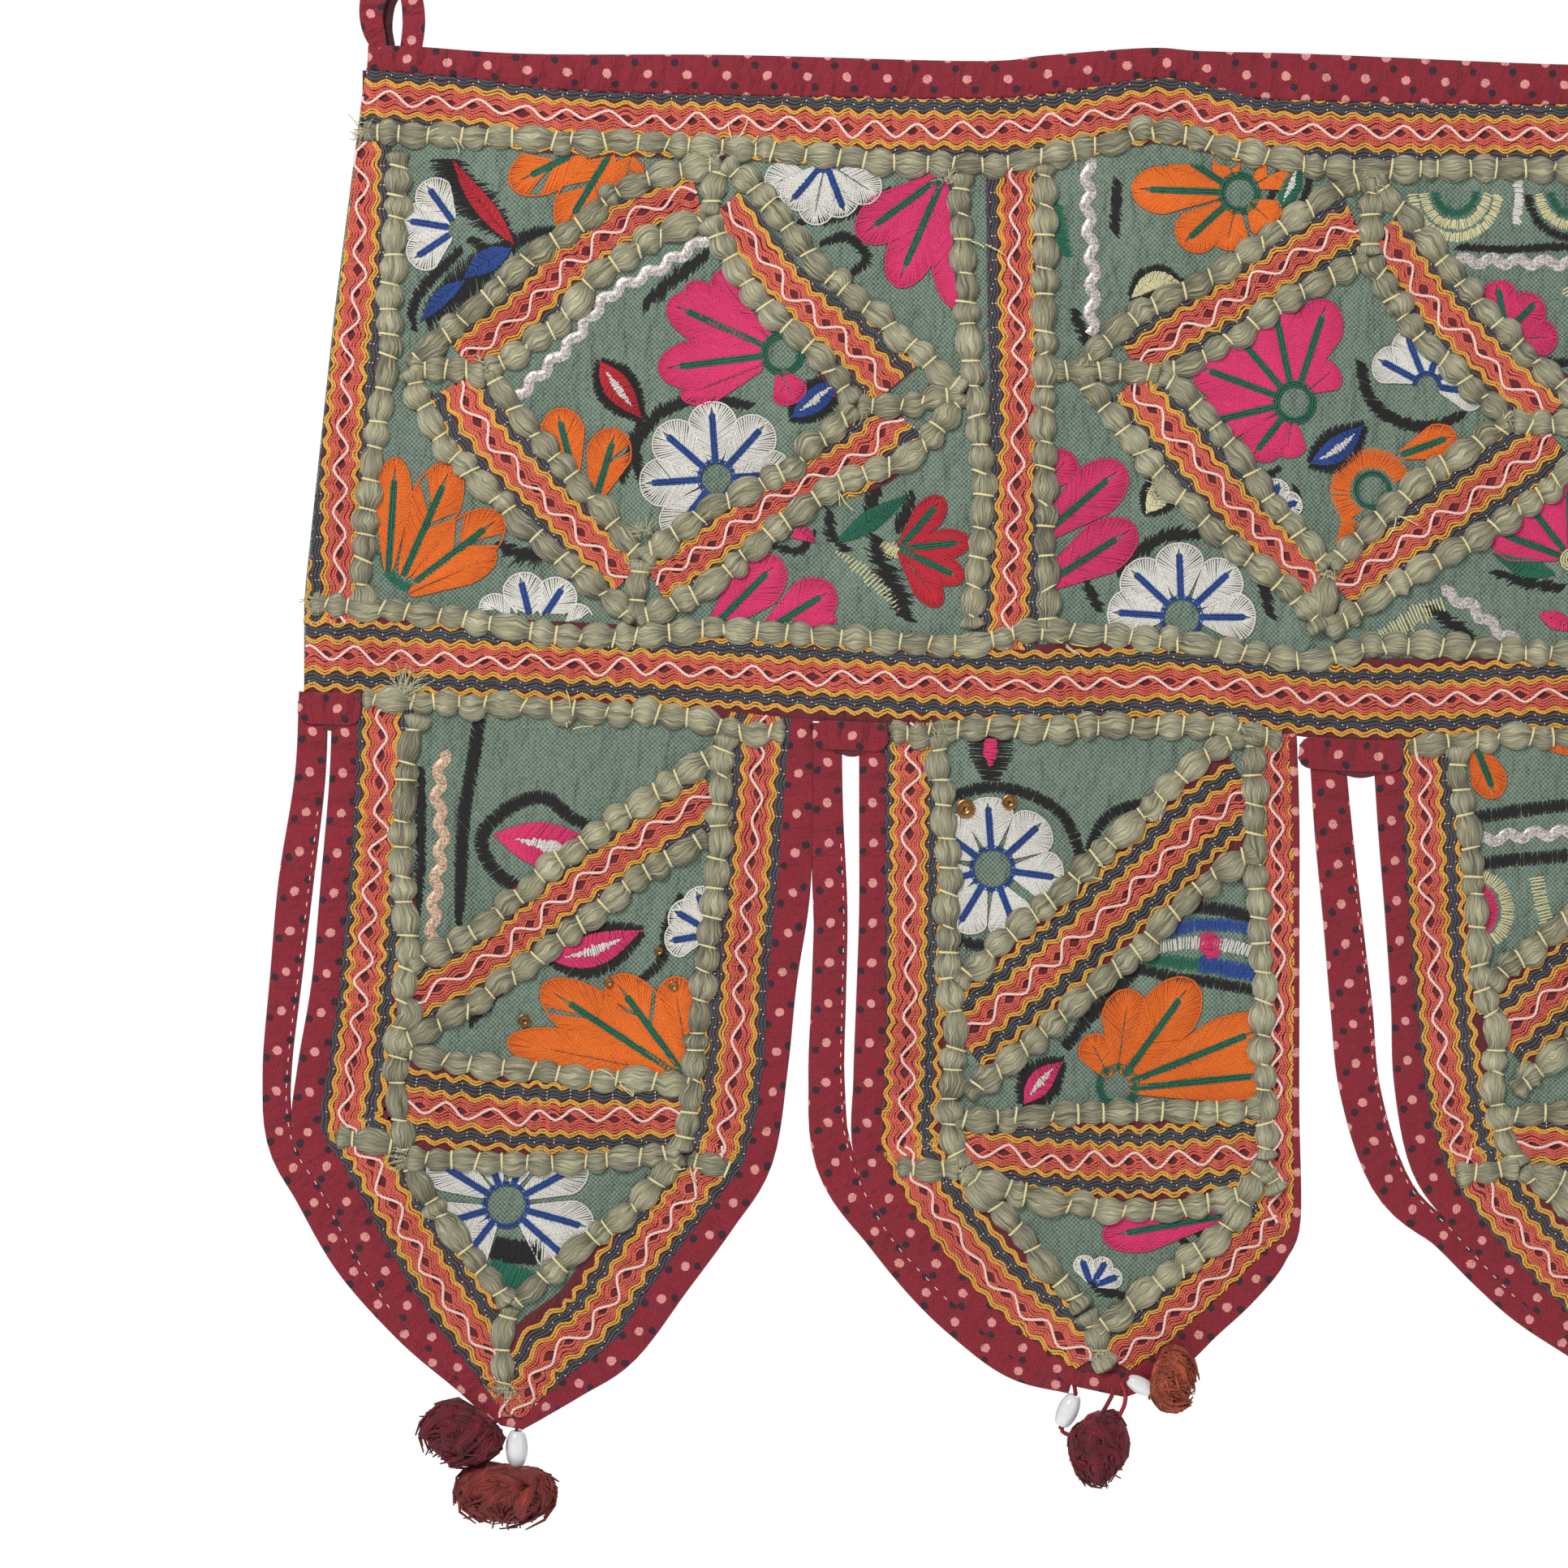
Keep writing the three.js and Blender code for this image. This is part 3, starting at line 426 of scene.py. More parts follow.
# Hanging loops
# A narrow length of the same printed cotton is folded, turned over on itself and caught in each
# end of the heading.
# Each loop's inside face is a darker maroon strip laid behind it: painted shade inside the fold.
tape_inside_shade, _ = cotton("tape_inside_shade", dye(40, 10, 20), dye(82, 22, 36), 0.6, 0.35, on_uv=True)
for number, turn in (("left", 1), ("right", -1)):
    path = [(-327.6, 1), (-331, 12), (-329.5, 22), (-323.5, 27.5), (-318, 22), (-316.5, 12), (-317.6, 1)]
    line = spaced(through([(x * turn, z) for x, z in path], 10), count=44)
    way = np.linspace(0, 1, 44)
    front = 0.7 + 1.4 * np.sin(np.pi * way) * (1 - 2 * way)
    line = np.column_stack([line, front])
    wide = np.interp(way, [0, 0.12, 0.35, 0.55, 0.8, 1], [2.6, 3.7, 4.5, 3.6, 3.9, 3.7])
    loop = lay(f"tape_loop_{number}", [(line, wide, 0.5)], TAPE_SECTION, dotted_tape, "dotted_tape",
               f"hanging_loop_{number}")
    body = loop.modifiers.new("thickness", "SOLIDIFY")
    body.thickness = 0.0004
    fold = through([((x - 0.6) * turn, z) for x, z in [(-326, 3), (-327, 10), (-326, 18), (-323, 24)]], 8)
    fold = np.column_stack([spaced(fold, count=20), np.full(20, -0.9)])
    fold = lay(f"tape_loop_{number}_inside", [(fold, 3.6, 0.3)], TAPE_SECTION, tape_inside_shade, "dotted_tape")


# Couched threads of the bands
# Each maroon band is covered with soft cotton yarns laid side by side and caught down with small
# stitches, which pull them into waves: coral in the middle, golden yellow beside it, blue-black
# outside, and a pale pink yarn zigzagging over the coral.
def yarn(name, dark, light, ply=1.5, soft=0.15, edge_shade_strength=2.6, ply_shade=0.3):
    thread = bpy.data.materials.new(name)
    thread.use_nodes = True
    add, maths, mixed = nodes_of(thread.node_tree)
    shader = thread.node_tree.nodes["Principled BSDF"]
    place = add("ShaderNodeUVMap", uv_map="cloth_mm").outputs[0]
    split = add("ShaderNodeSeparateXYZ", {0: place}).outputs
    # The ply twist gives the bump and also painted shading of the ply ridges in the colour.
    twist = maths("SINE", maths("MULTIPLY", maths("ADD", maths("DIVIDE", split[0], ply), split[1]),
                                2 * math.pi))
    stretched = add("ShaderNodeMapping", {"Vector": place, "Scale": (0.35, 3.0, 1)}).outputs[0]
    fibres = add("ShaderNodeTexNoise", {"Vector": stretched, "Scale": 1.0, "Detail": 3.0}).outputs["Fac"]
    space = add("ShaderNodeTexCoord").outputs["Object"]
    faded = add("ShaderNodeTexNoise", {"Vector": space, "Scale": 28.0, "Detail": 3.0}).outputs["Fac"]
    # Painted shade: each strand's colour darkens towards its edges, where it meets the next strand.
    strand_edge_shade = maths("ABSOLUTE", maths("SUBTRACT", maths("MODULO", maths("ADD", split[1], 921.15), 2.3), 1.15))
    share = maths("ADD", maths("MULTIPLY", twist, ply_shade), maths("ADD", maths("MULTIPLY", fibres, 0.9),
                                                             maths("MULTIPLY", faded, 0.5)))
    share = maths("SUBTRACT", share, maths("MULTIPLY", maths("POWER", strand_edge_shade, 2.0), edge_shade_strength))
    thread.node_tree.links.new(mixed(share, dark, light), shader.inputs["Base Color"])
    shader.inputs["Roughness"].default_value = 0.8
    shader.inputs["Sheen Weight"].default_value = soft
    height = maths("ADD", maths("MULTIPLY", twist, 0.35), fibres)
    bump = add("ShaderNodeBump", {"Height": height, "Strength": 0.6, "Distance": 0.0003})
    thread.node_tree.links.new(bump.outputs[0], shader.inputs["Normal"])
    return thread


coral_yarn = yarn("coral_yarn", dye(150, 38, 36), dye(238, 122, 98), 1.2)
yellow_yarn = yarn("yellow_yarn", dye(176, 116, 30), dye(242, 190, 86))
black_yarn = yarn("blue_black_yarn", dye(18, 21, 26), dye(88, 97, 102), 1.2, 0.05)
pink_yarn = yarn("pale_pink_yarn", dye(214, 160, 150), dye(255, 232, 222))
band_maroon, _ = cotton("band_maroon", dye(74, 20, 30), dye(122, 38, 50), 0.5)
YARN_SECTION = [(-1, 0), (0, 1), (1, 0)]
YARN_STEP = 1.65
INSIDE_CLOTH = 0.75
CORALS = (0.9, 1.85, 2.8, 3.7)
YELLOWS = (4.75, 5.7)
BLACKS = (7.05, 8.2, 9.35)
OUTER_YELLOWS = (10.7, 11.6)
WAVE = 7.6


def sideways(line):
    along = np.gradient(line[:, :2], axis=0)
    along /= np.maximum(np.linalg.norm(along, axis=1, keepdims=True), 1e-9)
    return np.stack([-along[:, 1], along[:, 0]], axis=1)


def fitted(values, count):
    """Values read at even steps, as many as asked for."""
    values = np.atleast_1d(values)
    return np.interp(np.linspace(0, 1, count), np.linspace(0, 1, len(values)), values)


reverse_rows = []
reverse_ties = []


def couch_bands(name, bands, slot="patchwork_cloth"):
    """bands: middle line of the coral, room to its right side and to its left side of the run."""
    yarns = {"coral": [], "yellow": [], "black": [], "pink": []}
    ground = []
    specks = []
    for middle, right_room, left_room in bands:
        line = spaced(middle, step=YARN_STEP)
        stations = len(line)
        side = sideways(line)
        gone = np.linspace(0, 1, stations) * np.linalg.norm(np.diff(line, axis=0), axis=1).sum()
        start = rng.uniform(0, WAVE)
        marks = np.arange(0, gone[-1] + 40, 20)
        drift = np.interp(gone, marks, rng.normal(0, 0.9, len(marks)))
        turn = 2 * np.pi * (gone + start) / WAVE + drift
        depth = np.interp(gone, marks, rng.normal(1, 0.16, len(marks)))
        rooms = {-1: fitted(right_room, stations), 1: fitted(left_room, stations)}
        for away in (-4.2, 0, 4.2):
            row = (line + side * np.clip(away, -rooms[-1].mean(), rooms[1].mean()))[: stations // 3 * 3]
            reverse_rows.append(np.stack([row[::3], row[1::3]], axis=1))

        def laid(away, hand, front):
            """Points that far to one side, kept on the cloth at the frieze's ends."""
            points = line + side * (hand * np.minimum(away, rooms[hand] + 0.3))[:, None]
            over = np.maximum(np.abs(points[:, 0]) - frieze_end(points[:, 1]), 0)
            points[:, 0] -= np.sign(points[:, 0]) * over * 0.98
            sunk = np.clip((away + 0.3 - rooms[hand]) / 0.4, 0, 1) * 1.8
            return np.column_stack([points, front - sunk])

        def strand(offset, wave, front, hand, ripple=0.13):
            loose = rng.normal(0, ripple, stations // 3 + 2)
            loose = np.interp(np.arange(stations), np.arange(len(loose)) * 3, loose)
            return laid(offset + wave * depth * np.sin(turn) + loose, hand, front)

        for hand in (-1, 1):
            room = rooms[hand].max()
            yarns["coral"].append(([strand(o, 1.1 - 0.06 * o, 1.55, hand, 0.18) for o in CORALS if o < room],
                                   0.48, 0.9))
            yellows = [strand(o, 0.95, 1.6, hand) for o in YELLOWS + OUTER_YELLOWS if o < room]
            blacks = [strand(o, 0.55, 1.55, hand) for o in BLACKS if o < room]
            yarns["yellow"] += [(yellows, 0.47, 0.85)] if yellows else []
            yarns["black"] += [(blacks, 0.52, 0.75)] if blacks else []
            for offset in (o for o in BLACKS if o < room):
                at = np.arange(rng.uniform(1, WAVE), gone[-1], WAVE) + rng.uniform(0, 1.5)
                at = np.minimum(np.round(at / gone[-1] * (stations - 1)).astype(int), stations - 1)
                at = at[rooms[hand][at] > offset + 1]
                across = hand * (offset + 0.5 * np.sin(turn[at])[:, None] + np.array([-0.3, 0.3]))
                points = line[at][:, None] + side[at][:, None] * across[..., None]
                specks.append(np.concatenate([points, np.full((len(at), 2, 1), 2.15)], axis=2))
        sway = np.arcsin(np.sin(np.pi * (gone + start) / WAVE + 0.4 * drift)) * 2 / np.pi
        loose = np.interp(gone, marks[::1] * 0.45, rng.normal(0, 0.7, len(marks)))
        sway = 2.4 * depth * np.sin(sway * 1.4) / math.sin(1.4) + loose
        yarns["pink"].append((laid(sway, 1, 2.25), 0.5, 0.75))
        ends = [laid(rooms[hand] - 0.4, hand, 1.55)[:, :2] for hand in (-1, 1)]
        width = np.linalg.norm(ends[1] - ends[0], axis=1) / 2
        ground.append((np.column_stack([(ends[0] + ends[1]) / 2, np.full(stations, 1.55)]), width, 0))
    finishes = {"coral": coral_yarn, "yellow": yellow_yarn, "black": black_yarn, "pink": pink_yarn}
    for colour, runs in yarns.items():
        lay(f"{name}_{colour}_yarn", runs, YARN_SECTION, finishes[colour], slot, apart=2.3,
            buried=INSIDE_CLOTH)
    specks = np.concatenate(specks) if specks else np.empty((0, 2, 3))
    if len(specks):
        lay(f"{name}_couching_specks", [(specks, 0.17, 0.25)], YARN_SECTION, pink_yarn, slot, apart=2.3)
    lay(f"{name}_ground", ground, [(-1, 0), (1, 0)], band_maroon, slot)


x = np.linspace(-336, 336, 300)
drop = np.interp(x, [-332, -278, -214, -160, -108, -58, 0, 332], [9.7, 9.4, 9.2, 10.8, 11.2, 9.7, 10.4, 10.2])
top_middle = np.stack([x, heading_foot(x) - drop], axis=1)
couch_bands("top_band", [(top_middle, 13.0, drop)])

MID_MIDDLE = [
    (-353.5, -206.8), (-278, -209.4), (-206, -213), (-118, -217.6), (-84, -217.5), (-50, -216.5),
    (7.6, -222.6), (82, -220.5), (157, -219), (241, -215.5), (353.5, -207),
]
mid_middle = through(MID_MIDDLE, 12)
couch_bands("mid_band", [(mid_middle, mid_middle[:, 1] - frieze_foot(mid_middle[:, 0]) + 1.6, 15.0)])

POSTS = [
    [(-334.3, -30), (-334.3, -43), (-335.4, -74), (-338.5, -105), (-341, -136), (-341.6, -152),
     (-341.6, -196)],
    [(-109, -38), (-109, -45), (-108.3, -90), (-107.5, -126), (-108.9, -148), (-110, -169), (-112, -205)],
    [(113.4, -38), (113.5, -90), (113.8, -140), (114, -205)],
    [(334.3, -30), (334.3, -43), (335.4, -74), (338.5, -105), (341, -136), (341.6, -152), (341.6, -196)],
]
posts = []
for number, path in enumerate(POSTS):
    line = spaced(through(path, 8), step=YARN_STEP)
    edge_room = frieze_end(line[:, 1]) - np.abs(line[:, 0])
    posts.append((line, edge_room if number == 0 else 10.5, edge_room if number == 3 else 10.5))
couch_bands("post", posts)

TOP_CORD = [
    (-334.5, -26.5), (-274, -29), (-214, -31.5), (-174, -35.5), (-123, -38.5), (-99, -35.5),
    (-80, -31.5), (-59, -27), (-38, -32), (-5, -38.5), (40, -39), (134, -38), (257, -33), (332, -30),
]
MID_CORD = [
    (-352, -188.5), (-303, -194), (-257, -201), (-211, -198), (-170, -201), (-128, -203),
    (-98, -198.5), (-52, -203), (-12, -209), (18, -204), (82, -206.5), (157, -205), (241, -201),
    (352, -191),
]
SQUARE_FRAMES = [
    [(-321, -33, -128, -41), (-334.5, -190, -124.5, -198)],
    [(-99, -38.5, 100, -40.5), (-98, -199.5, 101, -203.5)],
    [(126.5, -39, 321, -35), (127, -203, 334.5, -190)],
]
# Two uprights, the outer and inner sides of the diamond from its top round by the left, and a
# mitre at each of its points
SQUARE_CORDS = [
    [
        [(-321, -33), (-323, -64), (-325, -84), (-325.5, -105), (-330, -136), (-333, -167), (-334.5, -190)],
        [(-128, -41), (-125.5, -93), (-120.5, -142), (-120.5, -158), (-124.5, -198)],
        [(-210, -37), (-242, -45), (-260, -59), (-276, -70), (-297, -89), (-318, -108)],
        [(-318, -108), (-305, -135), (-280, -160), (-260, -178), (-240, -195)],
        [(-240, -195), (-216, -184), (-196, -167), (-170, -148), (-146, -139), (-127, -117)],
        [(-127, -117), (-151, -95), (-175, -74), (-197, -48), (-210, -37)],
        [(-215, -56), (-236, -65), (-255, -78), (-268, -94), (-291, -109)],
        [(-291, -109), (-273, -133), (-255, -153), (-238, -174)],
        [(-238, -174), (-216, -158), (-186, -142), (-164, -121)],
        [(-164, -121), (-176, -105), (-199, -82), (-215, -56)],
        [(-215, -56), (-210, -37)],
        [(-291, -109), (-318, -108)],
        [(-238, -174), (-240, -195)],
        [(-164, -121), (-148, -121), (-127, -117)],
    ],
    [
        [(-99, -38), (-99, -98), (-99, -151), (-98, -199)],
        [(100, -40), (101, -98), (101, -152), (101, -203)],
        [(14, -42), (2, -47), (-21, -63), (-42, -77), (-66, -90), (-88, -109)],
        [(-88, -109), (-71, -131), (-45, -160), (-11, -189), (-3, -199)],
        [(-3, -199), (22, -183), (53, -165), (82, -144), (99, -128)],
        [(99, -128), (73, -108), (45, -79), (31, -62), (14, -42)],
        [(13, -70), (-9, -81), (-29, -94), (-47, -106), (-59, -110)],
        [(-59, -110), (-45, -123), (-31, -140), (-19, -157), (-1, -177)],
        [(-1, -177), (18, -159), (40, -141), (62, -127)],
        [(62, -127), (40, -106), (27, -93), (13, -70)],
        [(13, -70), (14, -42)],
        [(-59, -110), (-96, -109)],
        [(-1, -177), (-3, -199)],
        [(62, -127), (99, -128)],
    ],
]


def carry(points, source, target, mirrored=False):
    """Moves a pattern between pieces. A row holds the left and the right end: x, z, x, z."""
    points = np.asarray(points, float)
    flat = points[..., :2].reshape(-1, 2)
    source, target = (np.asarray([row[:4] for row in rows], float) for rows in (source, target))
    span = source[:, 2:] - source[:, :2]
    unit = span / np.linalg.norm(span, axis=1, keepdims=True)
    from_left = flat[:, None] - source[None, :, :2]
    over = unit[:, 0] * from_left[..., 1] - unit[:, 1] * from_left[..., 0]
    upper = (over[:, 1:-1] < 0).sum(axis=1)
    every = np.arange(len(flat))
    down = over[every, upper] / (over[every, upper] - over[every, upper + 1])
    start, end = (rows[upper] * (1 - down)[:, None] + rows[upper + 1] * down[:, None]
                  for rows in (source, target))
    reach = start[:, 2:] - start[:, :2]
    along = ((flat - start[:, :2]) * reach).sum(axis=1) / (reach**2).sum(axis=1)
    along = 1 - along if mirrored else along
    moved = end[:, :2] + (end[:, 2:] - end[:, :2]) * along[:, None]
    moved = moved.reshape(*points.shape[:-1], 2)
    return np.concatenate([moved, points[..., 2:]], axis=-1)


SQUARE_CORDS.append([carry(path, SQUARE_FRAMES[0], SQUARE_FRAMES[2], True) for path in SQUARE_CORDS[0]])
for number, routes in enumerate(SQUARE_CORDS):
    bands = []
    for side in range(4):
        outer, inner = (spaced(through(routes[i], 8), count=90) for i in (side + 2, side + 6))
        share = 0.42 if side == 3 and number != 1 else 0.5
        middle = inner * (1 - share) + outer * share
        gap = np.linalg.norm(outer - inner, axis=1)
        rooms = [np.maximum(gap[5:-5] * part - 1.5, 4.5) for part in (share, 1 - share)]
        bands.append((middle[5:-5], *(rooms[::-1] if number == 2 else rooms)))
    couch_bands(f"square_{number + 1}", bands)


# Roving cords
# Thick khaki-grey cotton roving, untwisted, covers every seam. A pale yellow stitch over it about
# every centimetre draws it in, so it swells between the stitches.
def roving_finish():
    cord = bpy.data.materials.new("khaki_roving")
    cord.use_nodes = True
    add, maths, mixed = nodes_of(cord.node_tree)
    shader = cord.node_tree.nodes["Principled BSDF"]
    place = add("ShaderNodeUVMap", uv_map="cloth_mm").outputs[0]
    wander = add("ShaderNodeTexNoise", {"Vector": place, "Scale": 0.16, "Detail": 1.0}).outputs["Color"]
    wander = add("ShaderNodeVectorMath", {0: wander, 1: (0, 4.5, 0)}, operation="MULTIPLY").outputs[0]
    wandering = add("ShaderNodeVectorMath", {0: place, 1: wander}, operation="ADD").outputs[0]
    streaks = []
    for stretch in ((0.06, 1.5, 1), (0.1, 4.2, 1)):
        moved = add("ShaderNodeMapping", {"Vector": wandering, "Scale": stretch}).outputs[0]
        streaks.append(add("ShaderNodeTexNoise",
                           {"Vector": moved, "Scale": 1.0, "Detail": 2.0}).outputs["Fac"])
    space = add("ShaderNodeTexCoord").outputs["Object"]
    faded = add("ShaderNodeTexNoise", {"Vector": space, "Scale": 26.0, "Detail": 3.0}).outputs["Fac"]
    fibre = maths("ADD", maths("MULTIPLY", streaks[0], 0.55), maths("MULTIPLY", streaks[1], 0.65))
    # Painted shade: the cord's colour darkens where the stitches pinch it in and towards its sides, read from
    # the fullness map.
    shape = add("ShaderNodeUVMap", uv_map="fullness").outputs[0]
    full = add("ShaderNodeSeparateXYZ", {0: shape}).outputs
    pinch_shade = maths("MULTIPLY", maths("SUBTRACT", 1.0, full[0]), 0.85)
    aside = maths("MULTIPLY", maths("POWER", maths("ABSOLUTE", full[1]), 3.0), 0.3)
    share = maths("ADD", maths("MULTIPLY", maths("SUBTRACT", fibre, 0.6), 3.4), faded)
    share = maths("SUBTRACT", maths("ADD", share, 0.14), maths("ADD", pinch_shade, aside))
    cord.node_tree.links.new(mixed(share, dye(80, 75, 52), dye(202, 197, 160)), shader.inputs["Base Color"])
    shader.inputs["Roughness"].default_value = 0.72
    shader.inputs["Sheen Weight"].default_value = 0.25
    bump = add("ShaderNodeBump", {"Height": fibre, "Strength": 1.0, "Distance": 0.0014})
    cord.node_tree.links.new(bump.outputs[0], shader.inputs["Normal"])
    return cord


khaki_roving = roving_finish()
khaki_strand = yarn("khaki_strand", dye(104, 98, 70), dye(206, 200, 166), 1.4)
couching_thread = yarn("couching_thread", dye(196, 178, 110), dye(246, 236, 186), 0.9)
ROUND = [(-math.cos(a), math.sin(a)) for a in np.linspace(0, math.pi, 8)]
STITCH_APART = 10.0
ROVING_STEP = 1.45


def roving(name, paths, *stands_for):
    """Cords couched along paths. Each crosses a little above the one laid before it."""
    cords = []
    stitches = []
    for order, path in enumerate(paths):
        line = spaced(through(path, 10), step=ROVING_STEP)
        stations = len(line)
        gone = np.linspace(0, 1, stations) * np.linalg.norm(np.diff(line, axis=0), axis=1).sum()
        pulls = max(1, round(gone[-1] / STITCH_APART))
        pitch = gone[-1] / pulls
        places = (np.arange(pulls) + 0.5) * pitch + rng.normal(0, 1.25, pulls)
        ends = np.concatenate([[places[0] - pitch], places, [places[-1] + pitch]])
        slot_of = np.clip(np.searchsorted(ends, gone) - 1, 0, pulls)
        share = (gone - ends[slot_of]) / (ends[slot_of + 1] - ends[slot_of])
        swell = np.abs(np.sin(np.pi * share)) ** 0.72
        fullness = np.clip(rng.normal(1, 0.15, pulls + 1), 0.6, 1.22)[slot_of]
        half = 2.35 + 2.5 * swell * fullness
        rise = 1.6 + 2.4 * swell * fullness
        close = np.clip(np.minimum(gone, gone[-1] - gone) / 1.5, 0.35, 1)
        half, rise = half * close, rise * close
        drift = 0.55 * rng.normal(0, 1, pulls + 1)[slot_of] * np.sin(np.pi * share)
        side = sideways(line)
        line = line + side * drift[:, None]
        lift = 0.9 + 0.11 * (order % 5)
        cords.append((np.column_stack([line, np.full(stations, lift)]), half, rise))
        for place in places:
            i = int(np.clip(round(place / gone[-1] * (stations - 1)), 1, stations - 2))
            slant = rng.normal(0.12, 0.2)
            reach = 1.16 * half[i]
            a = np.linspace(0, np.pi, 7)
            over = -np.cos(a) * reach
            along = np.array([side[i][1], -side[i][0]])
            points = line[i] + over[:, None] * (side[i] + slant * along)
            front = lift - 0.3 + (rise[i] + 0.45) * np.sin(a) ** 0.8
            stitches.append(np.column_stack([points, front]))
            reverse_ties.append([line[i] - side[i] * half[i] * 0.8, line[i] + side[i] * half[i] * 0.8])
    cord = lay(name, cords, ROUND, khaki_roving, "roving", *stands_for, gather=4.9)
    lay(f"{name}_stitches", [(np.array(stitches), 0.42, 0.35)], YARN_SECTION, couching_thread, "roving",
        apart=2.3)
    return cord


roving("top_roving", [TOP_CORD], "top_cord")
roving("mid_roving", [MID_CORD], "mid_cord")
for number, routes in enumerate(SQUARE_CORDS):
    roving(f"square_roving_{number + 1}", routes, f"square_cords_{number + 1}")

# Pennants
# Four shaped cloths hang from the seam under the frieze. Each row of a pennant's table gives its
# left and right edge, then the widths of its binding, of the right binding, of the slit and of
# the loose strip at that height.
PENNANTS = [
    [
        (-335.5, -220, -186, -228, 8.5, 7, 1.5, 10),
        (-336.5, -250, -188.5, -257, 8.5, 9.5, 1.5, 10.5),
        (-339, -286, -191, -289, 9, 11, 2.5, 12),
        (-342, -320, -194, -319, 9, 9.5, 3.5, 11),
        (-346, -350.5, -195.5, -348, 10, 8, 2, 10),
        (-348, -370.5, -201.5, -379.5, 9.5, 9, 0.3, 9),
        (-339, -385, -215, -399.5, 10, 10, 0.3, 9.5),
        (-326, -409.5, -231, -420.5, 10, 10.5, 0.3, 8.5),
        (-311, -434.5, -247, -443.5, 8, 9.5, 0.3, 5),
        (-295.5, -455, -262.5, -455.5, 5.5, 8, 0.3, 2),
        (-285.5, -470.5, -279.5, -471, 2, 3, 0.3, 1),
    ],
    [
        (-154, -231, -14.5, -232, 8.5, 2, 6, 8.8),
        (-154, -261, -13.5, -264, 8.5, 2, 5.5, 9.5),
        (-154, -294.5, -13, -297.5, 8.5, 1.5, 4, 11.5),
        (-154, -325.5, -13, -331, 9.5, 1.5, 3.5, 12),
        (-154.5, -353.5, -13.5, -364.5, 10, 2, 3, 12.5),
        (-154.5, -378, -13.5, -401, 10, 2.5, 0.5, 13),
        (-143.5, -399.5, -22.5, -412, 10.5, 7.5, 0.3, 8.5),
        (-131, -416, -34, -423.5, 9, 9, 0.3, 9),
        (-119.5, -429, -46, -434.5, 8, 9, 0.3, 8.5),
        (-103.5, -443, -59, -446, 8, 9.5, 0.3, 6.5),
        (-87, -454, -71.5, -454.5, 4.5, 7.5, 0.3, 3),
    ],
    [
        (23.5, -235, 173, -232, 9, 8.5, 10, 12),
        (25, -266.5, 175, -264, 8.5, 8.5, 9, 13),
        (26.5, -297.5, 176.5, -296, 7.5, 9, 8, 13.5),
        (29, -327, 178, -328, 8, 9, 6.5, 14.5),
        (32, -353.5, 180.5, -357.5, 10, 9.5, 5, 14),
        (38, -381, 182.5, -387, 10.5, 10.5, 2, 13),
        (49, -398.5, 174, -403, 9, 10.5, 0.3, 8.5),
        (61.5, -413.5, 158, -421, 8, 10.5, 0.3, 7.5),
        (74, -426.5, 143, -436, 7.5, 9.5, 0.3, 6.5),
        (91, -443, 127.5, -450, 6, 8, 0.3, 3.5),
        (107.5, -461.5, 113.5, -462, 3, 3, 0.3, 1),
    ],
    [
        (206, -231, 346.5, -223, 9, 9, 2, 9.5),
        (208.5, -261, 348.5, -257, 9, 9, 2, 10),
        (211.5, -294.5, 350, -289, 9, 9, 3, 10.5),
        (215, -325.5, 352, -319, 9, 9.5, 3.5, 11),
        (219, -353.5, 354, -348, 10, 10, 2, 11),
        (226, -378.5, 356.5, -379.5, 10, 10.5, 0.3, 10.5),
        (241, -398, 347, -398, 10, 10.5, 0.3, 9.5),
        (256, -418, 334.5, -418.5, 10, 10.5, 0.3, 8.5),
        (271, -434.5, 321.5, -437.5, 8, 9.5, 0.3, 5.5),
        (285.5, -451.5, 306.5, -454, 6, 8, 0.3, 3),
        (297, -468.5, 303, -469.5, 2.5, 3, 0.3, 1),
    ],
]
